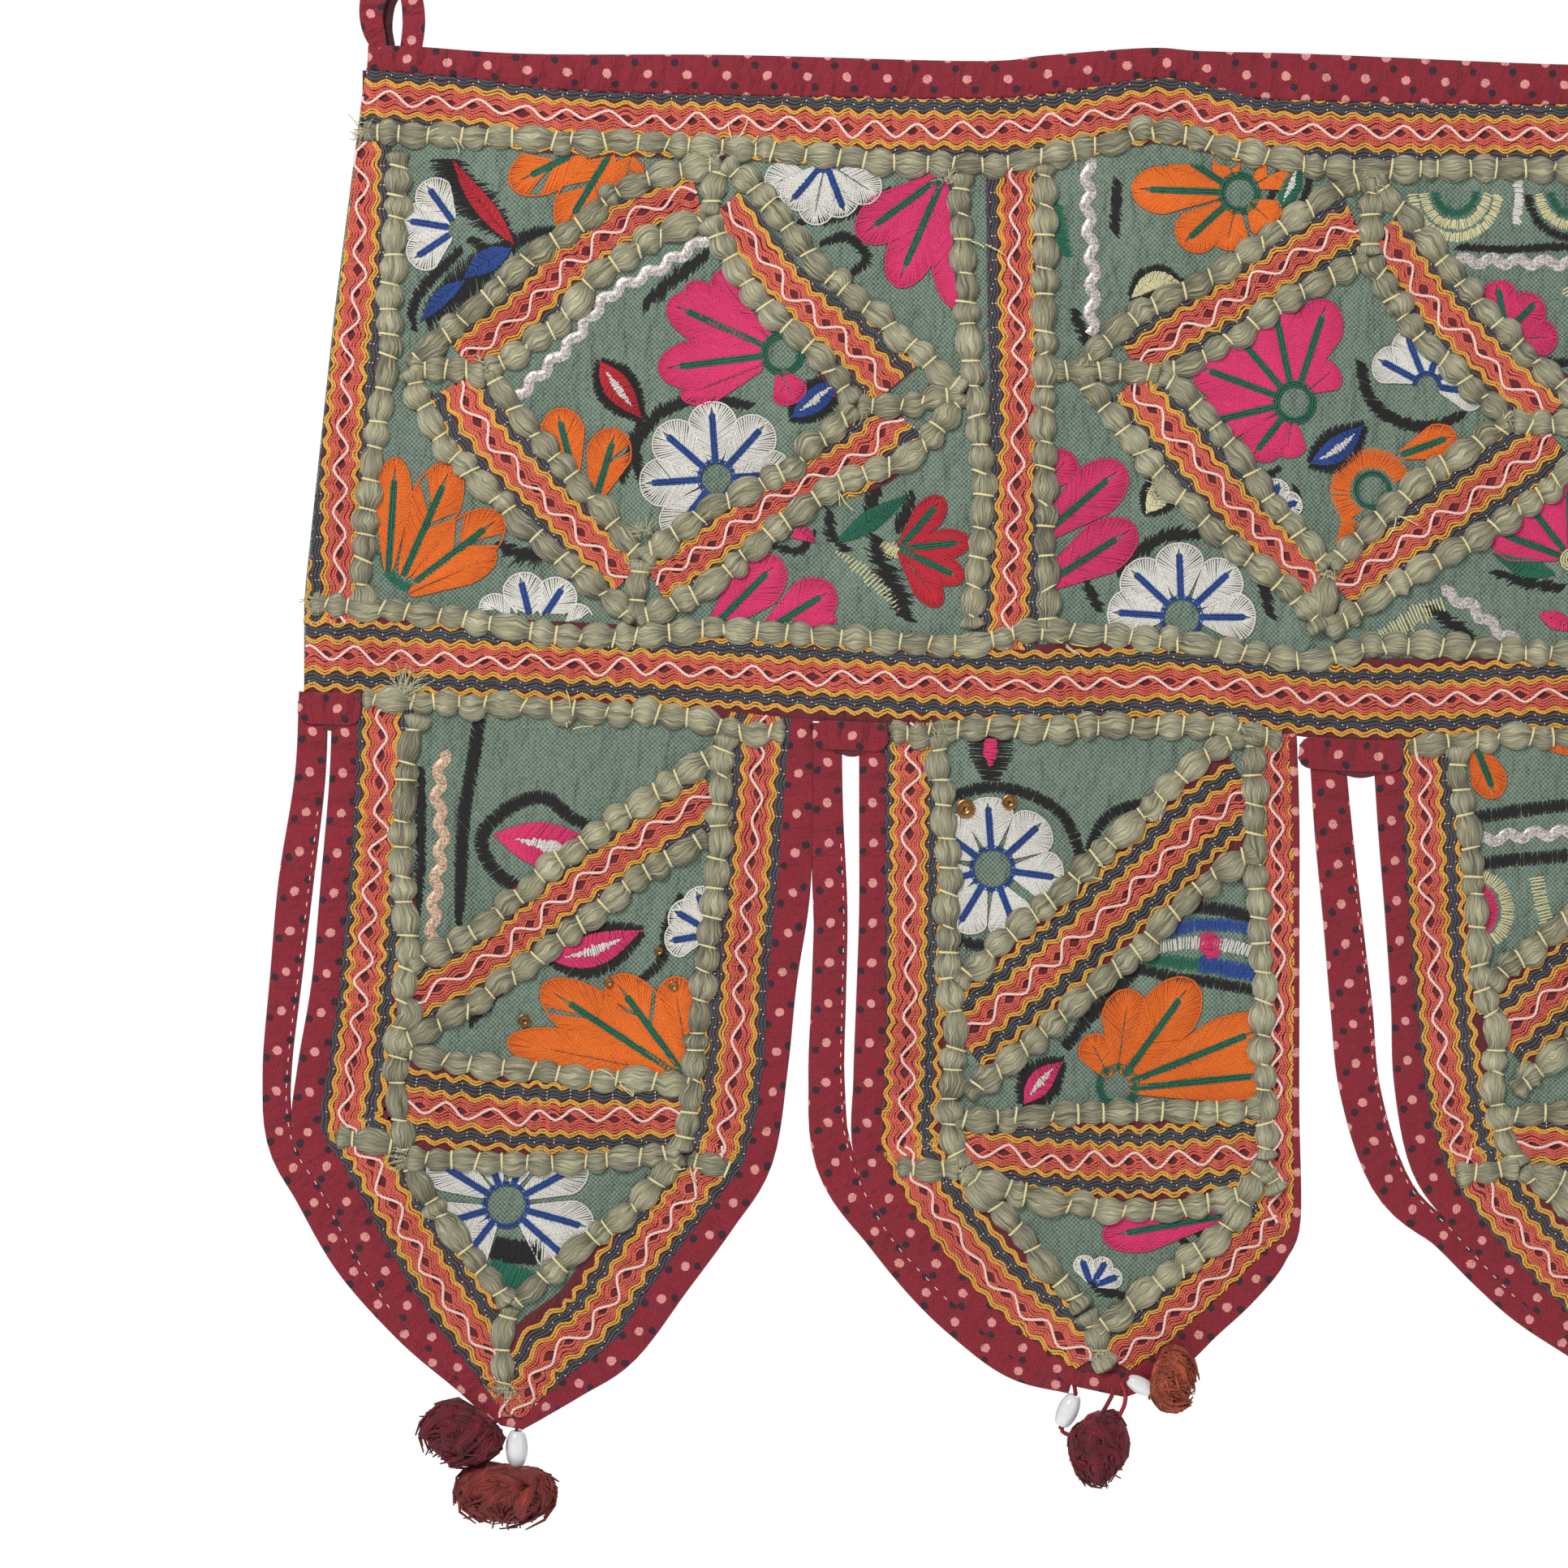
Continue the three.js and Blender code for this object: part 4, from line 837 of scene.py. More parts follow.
# Along the top, down the left, left side of the point, down the right, right side of the point,
# at the tip, at the two corners, above and below the slanting strip and the cross strip
PENNANT_CORDS = [
    [
        [(-334, -222), (-297, -223.5), (-273, -225), (-247, -226.5), (-221, -228.5), (-206, -233),
         (-188, -233.5)],
        [(-315, -227), (-320, -256), (-320, -287), (-318, -308), (-320, -329), (-322, -354), (-319, -380)],
        [(-319, -380), (-309, -397), (-296, -415), (-283, -431)],
        [(-209, -234), (-211, -262), (-213, -293), (-218, -328), (-220, -356), (-224, -379)],
        [(-224, -379), (-240, -397), (-261, -413), (-283, -431)],
        [(-283, -431), (-286, -447), (-285, -462)],
        [(-343, -372.5), (-321, -376)],
        [(-222, -381), (-207, -385)],
        [(-318, -314), (-298, -304), (-282, -292), (-268, -279), (-238, -258), (-211, -240)],
        [(-320, -341), (-291, -324), (-263, -303), (-238, -283), (-215, -269)],
        [(-321, -342), (-304, -347), (-275, -350.5), (-246, -353.5), (-219, -355)],
        [(-319, -380), (-291, -381.5), (-263, -382), (-224, -379)],
    ],
    [
        [(-152, -235), (-139, -233.5), (-118, -232), (-97, -232.5), (-71, -231.5), (-45, -231.5),
         (-17, -236)],
        [(-136, -234), (-134, -259), (-132, -279), (-132, -317), (-129, -337), (-132, -362), (-128, -384)],
        [(-128, -384), (-115, -398), (-101, -414), (-85, -432)],
        [(-28, -234), (-26, -287), (-23.5, -320), (-24, -335), (-23, -381)],
        [(-23, -381), (-36, -403), (-53, -418), (-73, -433), (-82, -440)],
        [(-85, -432), (-81, -441), (-79.5, -448), (-76.5, -452.5)],
        [(-150, -384), (-128, -384)],
        [(-23, -384), (-18, -392)],
        [(-31, -234), (-45, -243), (-66, -262), (-86, -281), (-103, -297), (-130, -320)],
        [(-26, -274), (-45, -286), (-60, -302), (-77, -317), (-94, -332), (-126, -359)],
        [(-131, -367), (-75, -364.5), (-24, -363.5)],
        [(-128, -385), (-95, -395), (-61, -398), (-26, -392)],
    ],
]
# How far the coral's middle runs inside the left and the right edge, at the top and at the corner
BAND_INSETS = [((8.7, 8.9), (9.6, 9.8)), ((9, 6.8), (5, 6.4)), ((7.6, 7.8), (8.6, 8.8)),
               ((8.6, 8.8), (8.8, 9))]
CAPS = [(-356, 11), (-177.6, 10), (-11.5, 11), (184.4, 10)]
PENNANT_SOURCES = [0, 1, 1, 0]
PENNANT_ROUTES = [
    [carry(path, PENNANTS[source], PENNANTS[number]) for path in PENNANT_CORDS[source]]
    for number, source in enumerate(PENNANT_SOURCES)
]


def nearest(line, *routes):
    """Distance from each point of a line to the nearest cord."""
    marks = np.vstack([spaced(through(route, 8), step=2) for route in routes])
    return np.linalg.norm(line[:, None, :2] - marks[None, :, :2], axis=2).min(axis=1)


for number, (table, routes) in enumerate(zip(PENNANTS, PENNANT_ROUTES)):
    name = f"pennant_{number + 1}"
    fine = through(table, 6)
    left, right = fine[:, :2].copy(), fine[:, 2:4].copy()
    left[0, 1], right[0, 1] = frieze_foot(left[0, 0]) - 0.4, frieze_foot(right[0, 0]) - 0.4
    rows = [a + (b - a) * np.linspace(0, 1, 29)[:, None] for a, b in zip(left, right)]
    rows[0][:, 1] = frieze_foot(rows[0][:, 0]) - 0.4
    cloth = cloth_sheet(f"{name}_patchwork", rows[::-1], 1.1, 2.0, patch_cotton, "patchwork_cloth",
                        f"pennant_cloth_{number + 1}")
    bands = []
    width = np.linalg.norm(right - left, axis=1)
    corner = len(fine) // 2
    for hand, edge, insets, side_cord, point_cord in (
        (1, left, BAND_INSETS[number][0], routes[1], routes[2]),
        (-1, right, BAND_INSETS[number][1], routes[3], routes[4]),
    ):
        inset = np.interp(np.arange(len(fine)), [0, corner], insets)
        inset = np.minimum(inset, 0.34 * width)
        middle = edge + hand * sideways(edge) * inset[:, None]
        for part, cords in ((slice(0, corner + 2), [side_cord]),
                            (slice(corner, None), [point_cord, routes[5]])):
            inner = np.clip(nearest(middle[part], *cords) + 2.5, 3, 16)
            inner = np.minimum(inner, np.maximum(0.66 * width[part], 1.5))
            bands.append((middle[part], inset[part], inner) if hand > 0
                         else (middle[part], inner, inset[part]))
    for upper, lower in ((8, 9), (10, 11)):
        above, below = (spaced(through(routes[i], 8), count=90) for i in (upper, lower))
        room = np.maximum(np.linalg.norm(above - below, axis=1) / 2 - 0.5, 4.6)
        bands.append(((above + below) / 2, room, room))
    couch_bands(name, bands)
    if width[-1] > 8:
        tip = left[-1] + (right[-1] - left[-1]) * np.linspace(-0.03, 1.03, 12)[:, None]
        tip = np.column_stack([tip[:, 0], tip[:, 1] + 3.2, np.full(12, 1.35)])
        lay(f"{name}_tip_ground", [(tip, 4.1, 0.05)], [(-1, 0), (0, 1), (1, 0)], band_maroon, "dotted_tape")
    roving(f"{name}_roving", routes, f"pennant_cords_{number + 1}")

    # The binding goes round both edges and the point, and the loose strip hangs beside it
    path = np.vstack([left, right[::-1]])
    widths = np.concatenate([fine[:, 4], fine[::-1, 5]]) + 0.9
    inside = sideways(path)
    middle = path + inside * (0.6 - widths / 2)[:, None]
    line = np.column_stack([middle, np.full(len(path), 1.15)])
    binding = lay(f"{name}_dotted_binding", [(line, widths / 2, 0.6)], TAPE_SECTION, dotted_tape,
                  "dotted_tape",
                  f"pennant_binding_{number + 1}")
    body = binding.modifiers.new("thickness", "SOLIDIFY")
    body.thickness = 0.0004
    across = sideways(left)
    lap = np.clip(1.2 - fine[:, 6], 0, 0.8)
    outer = np.interp(left[:, 1], [-300, -280], [0, 1.2]) * (number == 1)
    offset = 0.3 + fine[:, 4] + fine[:, 6] + (fine[:, 7] + outer - lap) / 2
    strip_half = (fine[:, 7] + outer + lap) / 2
    line = np.column_stack([left - across * offset[:, None], np.full(len(left), 0.8)])
    cap_left, cap_height = CAPS[number]
    x = np.linspace(cap_left - outer[0], left[0, 0] + 1.2, 26)
    end = np.minimum(x - x[0], x[-1] - x)
    cap_half = cap_height / 2 * np.sqrt(1 - 0.86 * np.clip(1 - end / 4.5, 0, 1) ** 2)
    cap = np.column_stack([x, frieze_foot(x) - 0.6 - cap_height / 2, np.full(26, 1.9)])
    strip = lay(f"{name}_dotted_strip", [(line, strip_half, 0.6), (cap, cap_half, 0.7)], TAPE_SECTION,
                dotted_tape,
                "dotted_tape", f"loose_strip_{number + 1}")
    body = strip.modifiers.new("thickness", "SOLIDIFY")
    body.thickness = 0.0004
    stitched = np.column_stack([left - across * (offset - strip_half + 1.3)[:, None],
                                np.full(len(left), 1.4)])
    dashes = spaced(stitched[8:-14], step=1.5)
    dashes = np.array([dashes[i : i + 2] for i in range(0, len(dashes) - 1, 3)])
    lay(f"{name}_running_stitch", [(dashes, 0.17, 0.3)], YARN_SECTION, pink_yarn, "dotted_tape", apart=2.3)
    # A dark maroon run under the cap is a painted shadow in the notch at the slit's top.
    hole_x = left[0, 0] - fine[0, 4] - fine[0, 6] / 2
    x = np.linspace(hole_x - fine[0, 6] / 2 - 2.2, hole_x + fine[0, 6] / 2 + 2.2, 9)
    hole = np.column_stack([x, frieze_foot(x) - cap_height - 0.8 - 0.8 * np.sin(np.linspace(0, np.pi, 9)),
                            np.full(9, 1.9)])
    lay(f"{name}_notch_shadow", [(hole, 0.3 + 0.9 * np.sin(np.linspace(0, np.pi, 9)), 0.1)],
        [(-1, 0), (0, 1), (1, 0)],
        band_maroon, "dotted_tape")


# Frayed ends and loose threads
# Where cords end and cross, their cut strands stand out in small tufts, and here and there an end
# of sewing thread hangs loose.
def tufts(name, places, finish, thickness):
    """places: middle, direction in degrees, spread in degrees, length and number of hairs."""
    hairs = []
    for (x, z), aim, spread, length, count in places:
        way = np.radians(aim + rng.normal(0, spread, count))[:, None]
        reach = length * rng.uniform(0.45, 1.1, (count, 1))
        t = np.linspace(0, 1, 7)[None]
        curl = way + rng.normal(0, 0.7, (count, 1)) * t
        step_x = np.cos(curl) * reach / 6
        step_z = np.sin(curl) * reach / 6
        hair_x = x + rng.normal(0, 0.9, (count, 1)) + np.cumsum(step_x, axis=1)
        hair_z = z + rng.normal(0, 0.9, (count, 1)) + np.cumsum(step_z, axis=1)
        front = 3.6 + rng.uniform(0, 1.4, (count, 1)) * np.sin(np.pi * t) - 1.2 * t
        hairs.append(np.stack([hair_x, hair_z, front], axis=2))
    hairs = np.concatenate(hairs)
    lay(name, [(hairs, thickness, thickness)], YARN_SECTION, finish, "roving", apart=2.3)


tufts("frayed_roving_ends", [
    ((-320, -221), 80, 42, 9, 60), ((-238, -165), 100, 50, 5, 30),
    ((-132, -45), 60, 50, 6, 26), ((-59, -150), 200, 50, 5, 22), ((-291, -108), 200, 60, 5, 26),
    ((-163, -122), 10, 60, 5, 22), ((-238, -175), 270, 60, 5, 22), ((-2, -178), 270, 60, 5, 22),
    ((-319, -380), 180, 50, 5, 22), ((-284, -459), 270, 40, 5, 26), ((-80, -446), 270, 40, 5, 26),
    ((-134, -236), 100, 50, 6, 26), ((-28, -236), 60, 50, 6, 26), ((60, -126), 0, 60, 5, 22),
    ((14, -44), 90, 60, 5, 22), ((164, -235), 80, 50, 6, 26), ((325, -192), 60, 50, 6, 26),
    ((-213, -36), 90, 60, 5, 26), ((-333, -27), 170, 50, 5, 22), ((-350, -189), 190, 50, 4, 18),
], khaki_strand, 0.13)
tufts("loose_sewing_thread", [
    ((-305, -27), 60, 70, 8, 5), ((-206, -31), 80, 60, 9, 4), ((-262, -231), 100, 50, 9, 6),
    ((-92, -203), 250, 60, 8, 4), ((-170, -149), 280, 60, 8, 3), ((-86, -282), 40, 60, 9, 4),
    ((-246, -354), 80, 60, 8, 4), ((20, -159), 300, 60, 8, 3), ((-120, -66), 0, 60, 7, 3),
    ((-60, -264), 120, 60, 8, 4), ((-222, -383), 330, 50, 8, 4), ((-127, -383), 210, 50, 8, 4),
], couching_thread, 0.18)


# Embroidered patches
# The green patches were cut from older embroidered cloth, so bands and cords run over the flowers.
# Petals are open fishbone stitches from a chain-stitched vein to the edge, stems and leaves are
# rough black satin stitch, and every stitch lies singly on the cloth.
SILKS = {
    "white": ((128, 122, 112), (250, 248, 240)),
    "blue": ((8, 22, 66), (48, 88, 168)),
    "orange": ((142, 38, 4), (255, 128, 34)),
    "pink": ((122, 4, 50), (246, 62, 124)),
    "green": ((6, 44, 34), (40, 124, 96)),
    "red": ((92, 4, 20), (220, 42, 60)),
    "black": ((3, 3, 3), (36, 34, 32)),
    "cream": ((138, 128, 78), (244, 238, 194)),
}
# Silks are darkened strongly at the edges of each stitch: painted shade between stitches.
SILKS = {
    name: yarn(f"{name}_silk", dye(*dark), dye(*light), 1.3, 0.0, 6.0, 0.1)
    for name, (dark, light) in SILKS.items()
}
ON_CLOTH = 1.05
# Front of a stitch's start, middle and end past where it lies
STITCH_RISE = np.array([-0.2, 0.08, -0.2])


def inside(points, outline):
    """Which points lie inside an outline of x and z."""
    x, z = points[:, 0], points[:, 1]
    within = np.zeros(len(points), bool)
    for (x1, z1), (x2, z2) in zip(outline, np.roll(outline, -1, axis=0)):
        crosses = (z1 > z) != (z2 > z)
        within ^= crosses & (x < (x2 - x1) * (z - z1) / (z2 - z1 + 1e-12) + x1)
    return within


class Patch:
    """One embroidered patch: its outline, and what is sewn within it."""

    def __init__(self, outline, hole=None):
        self.outline = np.asarray(outline, float)[:, :2]
        self.hole = None if hole is None else np.asarray(hole, float)[:, :2]
        self.sewn = {}
        self.runs = {}

    def sew(self, silk, starts, ends, lift=0.0, loose=0.14):
        starts = np.asarray(starts, float) + rng.normal(0, loose, np.shape(starts))
        ends = np.asarray(ends, float) + rng.normal(0, loose, np.shape(ends))
        middle = (starts + ends) / 2
        keep = inside(middle, self.outline)
        if self.hole is not None:
            keep &= ~inside(middle, self.hole)
        if keep.any():
            self.sewn.setdefault(silk, []).append((starts[keep], ends[keep], lift))

    def run(self, silk, path, lift, step=1.5):
        """A line of thread along a path, in short lengths so that it stops at the patch's edge."""
        line = spaced(path, step=step)
        self.sew(silk, line[:-1] - (line[1:] - line[:-1]) * 0.12, line[1:], lift, 0.05)

    def satin(self, silk, path, width, slant=0.5, step=0.62, ragged=0.16, lift=0.05):
        """Stitches across a path. width is full width along it."""
        line = spaced(through(path, 8), step=step)
        half = fitted(width, len(line))[:, None] / 2
        side = sideways(line)
        run = np.stack([side[:, 1], -side[:, 0]], axis=1)
        reach = half * rng.normal(1, ragged, (len(line), 1))
        back = half * rng.normal(1, ragged, (len(line), 1))
        self.sew(silk, line + (side + slant * run) * reach, line - (side + slant * run) * back, lift)

    def leaf(self, silk, path, width, vein=None, step=0.66):
        """Two rows of slanting stitches that meet in the middle."""
        line = spaced(through(path, 8), step=step)
        t = np.linspace(0, 1, len(line))
        half = width / 2 * np.sin(np.pi * np.clip(t, 0.02, 0.98) ** 0.85)[:, None]
        side = sideways(line)
        run = np.stack([side[:, 1], -side[:, 0]], axis=1)
        for hand in (-1, 1):
            self.sew(silk, line - run * half * 0.45, line + hand * side * half + run * 0.2, 0.6, 0.1)
        if vein:
            self.satin(vein, line[len(line) // 6 : -len(line) // 5, :2], [0.3, width * 0.32, 0.3], 0.1,
                       lift=1.0)

    def petal(self, silk, base, tip, half, vein=None, gap=1.0, reach=0.8, eyes=()):
        """A round-ended petal of stitches from its vein to its edge."""
        base, tip = np.asarray(base, float), np.asarray(tip, float)
        axis = tip - base
        side = np.array([-axis[1], axis[0]]) / np.linalg.norm(axis)
        t = np.linspace(0.04, 1, 60)
        wide = np.where(t < 0.64, 0.2 + 0.8 * (t / 0.64) ** 0.95,
                        np.sqrt(np.clip(1 - ((t - 0.64) / 0.36) ** 2, 0, 1)))
        for hand in (-1, 1):
            edge = base + axis * t[:, None] + side * (hand * half * wide)[:, None]
            edge = spaced(edge, step=gap)
            share = np.linspace(0, 1, len(edge))
            root = base + axis * (share * reach)[:, None] + side * (hand * (0.9 if vein else 0.25))
            keep = np.ones(len(edge), bool)
            for along, across, size in eyes:
                eye = base + axis * along + side * across
                middle = (edge + root) / 2
                keep &= np.linalg.norm(middle - eye, axis=1) > size
            self.sew(silk, root[keep], edge[keep], 0.4, 0.08)
            self.run(silk, edge, lift=0.6)
            if vein:
                for row in (0.42, 1.15) if reach > 0.6 else (0.42,):
                    line = base + axis * np.linspace(0.02, reach, 12)[:, None] + side * hand * (row - 0.35)
                    self.run(vein, line, lift=0.85, step=1.6)

    def ring(self, silk, centre, radius, rows=2, start=0, end=360):
        turn = np.radians(np.linspace(start, end, 40))
        for row in range(rows):
            r = radius + 0.85 * row
            self.run(silk, np.asarray(centre) + r * np.stack([np.cos(turn), np.sin(turn)], axis=1), lift=0.85,
                     step=1.6)

    def flower(self, silk, vein, centre, hub, radius, angles, half, gap=1.0, ring=True):
        for angle in angles:
            way = np.array([math.cos(math.radians(angle)), math.sin(math.radians(angle))])
            at = np.asarray(centre, float)
            self.petal(silk, at + way * hub, at + way * radius, half, vein, gap)
        if ring:
            self.ring(vein, centre, hub)

    def bud(self, silk, path, width, heart="white", rim=3.2):
        """A bud with a light heart, in a thick black rim."""
        line = spaced(through(path, 8), count=24)
        t = np.linspace(0, 1, 24)
        swell = np.sin(np.pi * t**0.85)[:, None] * (width / 2 + rim * 0.42)
        side = sideways(line)
        for hand in (-1, 1):
            self.satin("black", line + hand * side * swell, rim, 0.35, 0.58, 0.14)
        self.leaf(silk, path, width, heart)

    def braid(self, silk, path):
        self.runs.setdefault(silk, []).append(path)

    def moved(self, source, target, mirrored=False):
        """The same patch on another piece."""
        other = Patch(carry(self.outline, source, target, mirrored))
        for silk, batches in self.sewn.items():
            other.sewn[silk] = [(carry(a, source, target, mirrored), carry(b, source, target, mirrored), lift)
                                for a, b, lift in batches]
        for silk, paths in self.runs.items():
            other.runs[silk] = [carry(path, source, target, mirrored) for path in paths]
        return other


def braid_finish(name, dark, light):
    """Metallic thread woven into ric-rac braid."""
    braid = bpy.data.materials.new(name)
    braid.use_nodes = True
    add, maths, mixed = nodes_of(braid.node_tree)
    shader = braid.node_tree.nodes["Principled BSDF"]
    place = add("ShaderNodeUVMap", uv_map="cloth_mm").outputs[0]
    fleck = add("ShaderNodeTexVoronoi", {"Vector": place, "Scale": 2.4}).outputs["Color"]
    fleck = add("ShaderNodeSeparateColor", {0: fleck}).outputs[0]
    braid.node_tree.links.new(mixed(fleck, dark, light), shader.inputs["Base Color"])
    shader.inputs["Roughness"].default_value = 0.45
    shader.inputs["Metallic"].default_value = 0.35
    bump = add("ShaderNodeBump", {"Height": fleck, "Strength": 0.8, "Distance": 0.0004})
    braid.node_tree.links.new(bump.outputs[0], shader.inputs["Normal"])
    return braid


BRAIDS = {
    "silver": braid_finish("silver_braid", dye(128, 118, 112), dye(238, 230, 224)),
    "champagne": braid_finish("champagne_braid", dye(150, 112, 88), dye(244, 214, 186)),
}


def show(name, patches):
    """Makes the stitches of one piece's patches, one object for each silk."""
    for silk, finish in SILKS.items():
        batches = [batch for patch in patches for batch in patch.sewn.get(silk, [])]
        if not batches:
            continue
        lines = []
        for starts, ends, lift in batches:
            t = np.array([0, 0.5, 1])[None, :, None]
            flat = starts[:, None] * (1 - t) + ends[:, None] * t
            front = ON_CLOTH + lift * 0.6 + STITCH_RISE + rng.uniform(0, 0.06, (len(starts), 1))
            lines.append(np.concatenate([flat, front[..., None]], axis=2))
        lines = np.concatenate(lines)
        lay(f"{name}_{silk}_stitches", [(lines, 0.37, 0.42)], YARN_SECTION, finish, "patchwork_cloth",
            apart=2.3)
    for silk, finish in BRAIDS.items():
        runs = []
        for path in (path for patch in patches for path in patch.runs.get(silk, [])):
            line = spaced(through(path, 8), step=0.8)
            gone = np.arange(len(line)) * 0.8
            line = line + sideways(line) * (1.15 * np.sin(2 * np.pi * gone / 9.2))[:, None]
            runs.append((np.column_stack([line, np.full(len(line), 1.2)]), 1.95, 0.5))
        if runs:
            lay(f"{name}_{silk}_braid", runs, [(-1, 0), (-0.8, 0.8), (0, 1), (0.8, 0.8), (1, 0)], finish,
                "patchwork_cloth")


def diamond(routes, first):
    return np.vstack([spaced(through(routes[first + i], 6), count=16)[:-1] for i in range(4)])


def square_patches(routes):
    """The centre patch and the corner patch, which is all that lies outside the diamond."""
    frame_line = np.vstack([spaced(through(routes[0], 6), count=16),
                            spaced(through(routes[1], 6), count=16)[::-1]])
    return Patch(diamond(routes, 6)), Patch(frame_line, diamond(routes, 2))


middle, corners = square_patches(SQUARE_CORDS[0])
# Upper left corner: a white half flower, a red and a blue leaf, an orange flower
corners.flower("white", "blue", (-301, -60), 3.4, 20, (126, 171, 214), 6.6, ring=False)
corners.satin("black", [(-300, -67), (-305, -72), (-313, -80), (-317, -88), (-316, -95)], [3, 4, 4.5, 3.5, 2])
corners.satin("black", [(-297, -63), (-291, -67), (-284, -66), (-276, -62), (-268, -60)], [3, 5, 6, 4, 2])
corners.satin("black", [(-283, -64), (-291, -56), (-299, -47), (-305, -36)], [3, 12, 13, 9])
corners.leaf("red", [(-282, -65), (-290, -55), (-297, -46), (-303, -36)], 6.4)
corners.satin("black", [(-284, -67), (-292, -73), (-300, -79), (-312, -91)], [4, 12, 11, 8])
corners.leaf("blue", [(-283, -67), (-291, -71), (-299, -77)], 8)
corners.leaf("blue", [(-299, -78), (-306, -83), (-314, -92)], 5.4)
corners.petal("orange", (-247, -27), (-283, -45), 8.6, "green", 0.84, eyes=[(0.75, 4, 2)])
corners.petal("orange", (-245, -28), (-265, -61), 8.4, "green", 0.84, eyes=[(0.6, -4, 1.6)])
corners.petal("orange", (-239, -26), (-246, -53), 6.5, None, 0.84, eyes=[(0.6, 2, 1.4)])
# Upper right corner: a white half flower and a pink flower
corners.flower("white", "blue", (-174.5, -37), 3, 20, (229, 291), 6.6, ring=True)
corners.flower("white", None, (-174.5, -37), 4, 22, (203, 259, 327), 6.2, ring=False)
corners.satin("black", [(-184, -58), (-172, -56), (-160, -52), (-152, -47)], [2, 4.5, 5, 3])
corners.satin("black", [(-176, -65), (-167, -63), (-160, -70), (-166, -76)], [2.5, 4, 4, 3])
corners.petal("pink", (-134, -42), (-163, -63), 8.2, "green", 0.84)
corners.petal("pink", (-134, -43), (-150, -80), 8.2, "green", 0.84, eyes=[(0.6, 3, 1.2)])
corners.petal("pink", (-131, -44), (-128, -88), 8.5, "green", 0.84)
# Lower left corner: an orange flower with three veins and a white half flower
corners.petal("orange", (-325, -178), (-322.5, -139), 6.2, "green", 0.84)
corners.petal("orange", (-320, -180), (-303, -141), 8.6, "green", 0.84, eyes=[(0.7, 3.5, 2), (0.55, -4, 1.3)])
corners.petal("orange", (-316, -182), (-286, -159), 8.6, "green", 0.84, eyes=[(0.75, -3, 1.8), (0.6, 4, 1.5)])
corners.petal("orange", (-318, -186), (-288, -172), 5.6, None, 0.84, eyes=[(0.7, 0, 2.2)])
corners.satin("green", [(-327, -172), (-324, -180), (-318, -184)], 3.5)
corners.flower("white", "blue", (-275, -199), 3.5, 21, (104, 57), 7, ring=False)
corners.flower("white", None, (-275, -199), 5, 21, (150, 16), 5.5, ring=False)
corners.satin("black", [(-287, -168), (-280, -172), (-272, -171), (-268, -166)], [2, 6, 6, 2.5], 0.9,
              ragged=0.35)
# Lower right corner: pink petals, a green leaf, a red flower and a cream ladder leaf
corners.petal("pink", (-214, -198), (-190, -174), 9, "green", 0.84)
corners.petal("pink", (-196, -199), (-171.5, -184), 8.4, "green", 0.84, eyes=[(0.6, 3, 1.2)])
corners.petal("pink", (-190, -202), (-171, -194), 5, None, 0.84)
corners.satin("black", [(-209, -181), (-203, -175), (-199, -172)], [4, 3, 2], 1.2)
corners.leaf("green", [(-170, -168), (-158, -160), (-146, -152)], 7)
corners.satin("black", [(-160, -162), (-158, -153), (-156, -149)], [4, 6, 4], 1, ragged=0.3)
corners.satin("black", [(-173, -157), (-172, -166), (-167, -171)], [2.5, 3.5, 2.5], 1, ragged=0.3)
corners.satin("black", [(-157, -166), (-155, -175), (-151, -184), (-146, -195)], [5, 7, 6, 4], 0.8,
              ragged=0.3)
corners.satin("black", [(-150, -163), (-146, -157), (-144, -152)], [5, 4, 3], 1, ragged=0.3)
for tip, half in (((-134, -153), 5), ((-125, -168), 5), ((-127, -181), 5), ((-135, -190), 4.6)):
    corners.petal("red", (-149, -170.5), tip, half, "green" if half == 5 else None, 0.8)
corners.satin("cream", [(-155, -169), (-151, -171.5), (-147.5, -172)], [3, 6, 3.5], 0.1)
corners.satin("cream", [(-170.5, -171), (-163, -177), (-155, -184), (-149, -191)], [1, 4.5, 5, 2], 0.1, 1.5)
corners.leaf("pink", [(-186, -166), (-182, -165), (-178, -168)], 5)
corners.satin("black", [(-192, -169), (-184, -171), (-178, -165)], [2, 3, 2], 1, ragged=0.3)
# Centre: silver braid, a pink and a white flower, an orange petal pair and two buds
middle.braid("silver", [(-214, -62), (-231, -73), (-249, -83), (-263, -100), (-281, -118)])
middle.satin("black", [(-215, -69), (-225, -76), (-237, -86)], [3.5, 4.5, 3], 1.2, ragged=0.35)
middle.flower("pink", "green", (-189.3, -103), 6.2, 43, (156, 187), 8.2, 0.62, ring=False)
middle.petal("pink", (-194, -98), (-212, -75), 6.4, None, 0.84, eyes=[(0.5, 2, 1.8)])
middle.petal("pink", (-192, -96), (-203, -83), 5, "green", 0.84)
middle.petal("pink", (-196, -107), (-224, -118), 5.4, None, 0.84, eyes=[(0.6, 0, 1.4)])
middle.petal("pink", (-190, -109), (-185, -120), 6, None, 0.84)
middle.petal("pink", (-196, -101), (-222, -79), 5.5, None, 0.84, eyes=[(0.75, 0, 2.0)])
middle.ring("green", (-189.3, -103), 5.6, 3)
middle.bud("red", [(-252, -106), (-246, -115), (-238, -125)], 9, rim=3.6)
middle.bud("blue", [(-186, -125), (-178, -119), (-168, -111)], 8, rim=3.2)
middle.satin("black", [(-245, -147), (-241, -136), (-236, -128), (-229, -122), (-217, -118.5), (-200, -121)],
             [3, 4.5, 4.5, 4.2, 4, 3], 0.8)
middle.satin("black", [(-238, -126), (-240, -133), (-239, -143), (-235, -152)], [3, 3.5, 3, 2], 0.8,
             ragged=0.3)
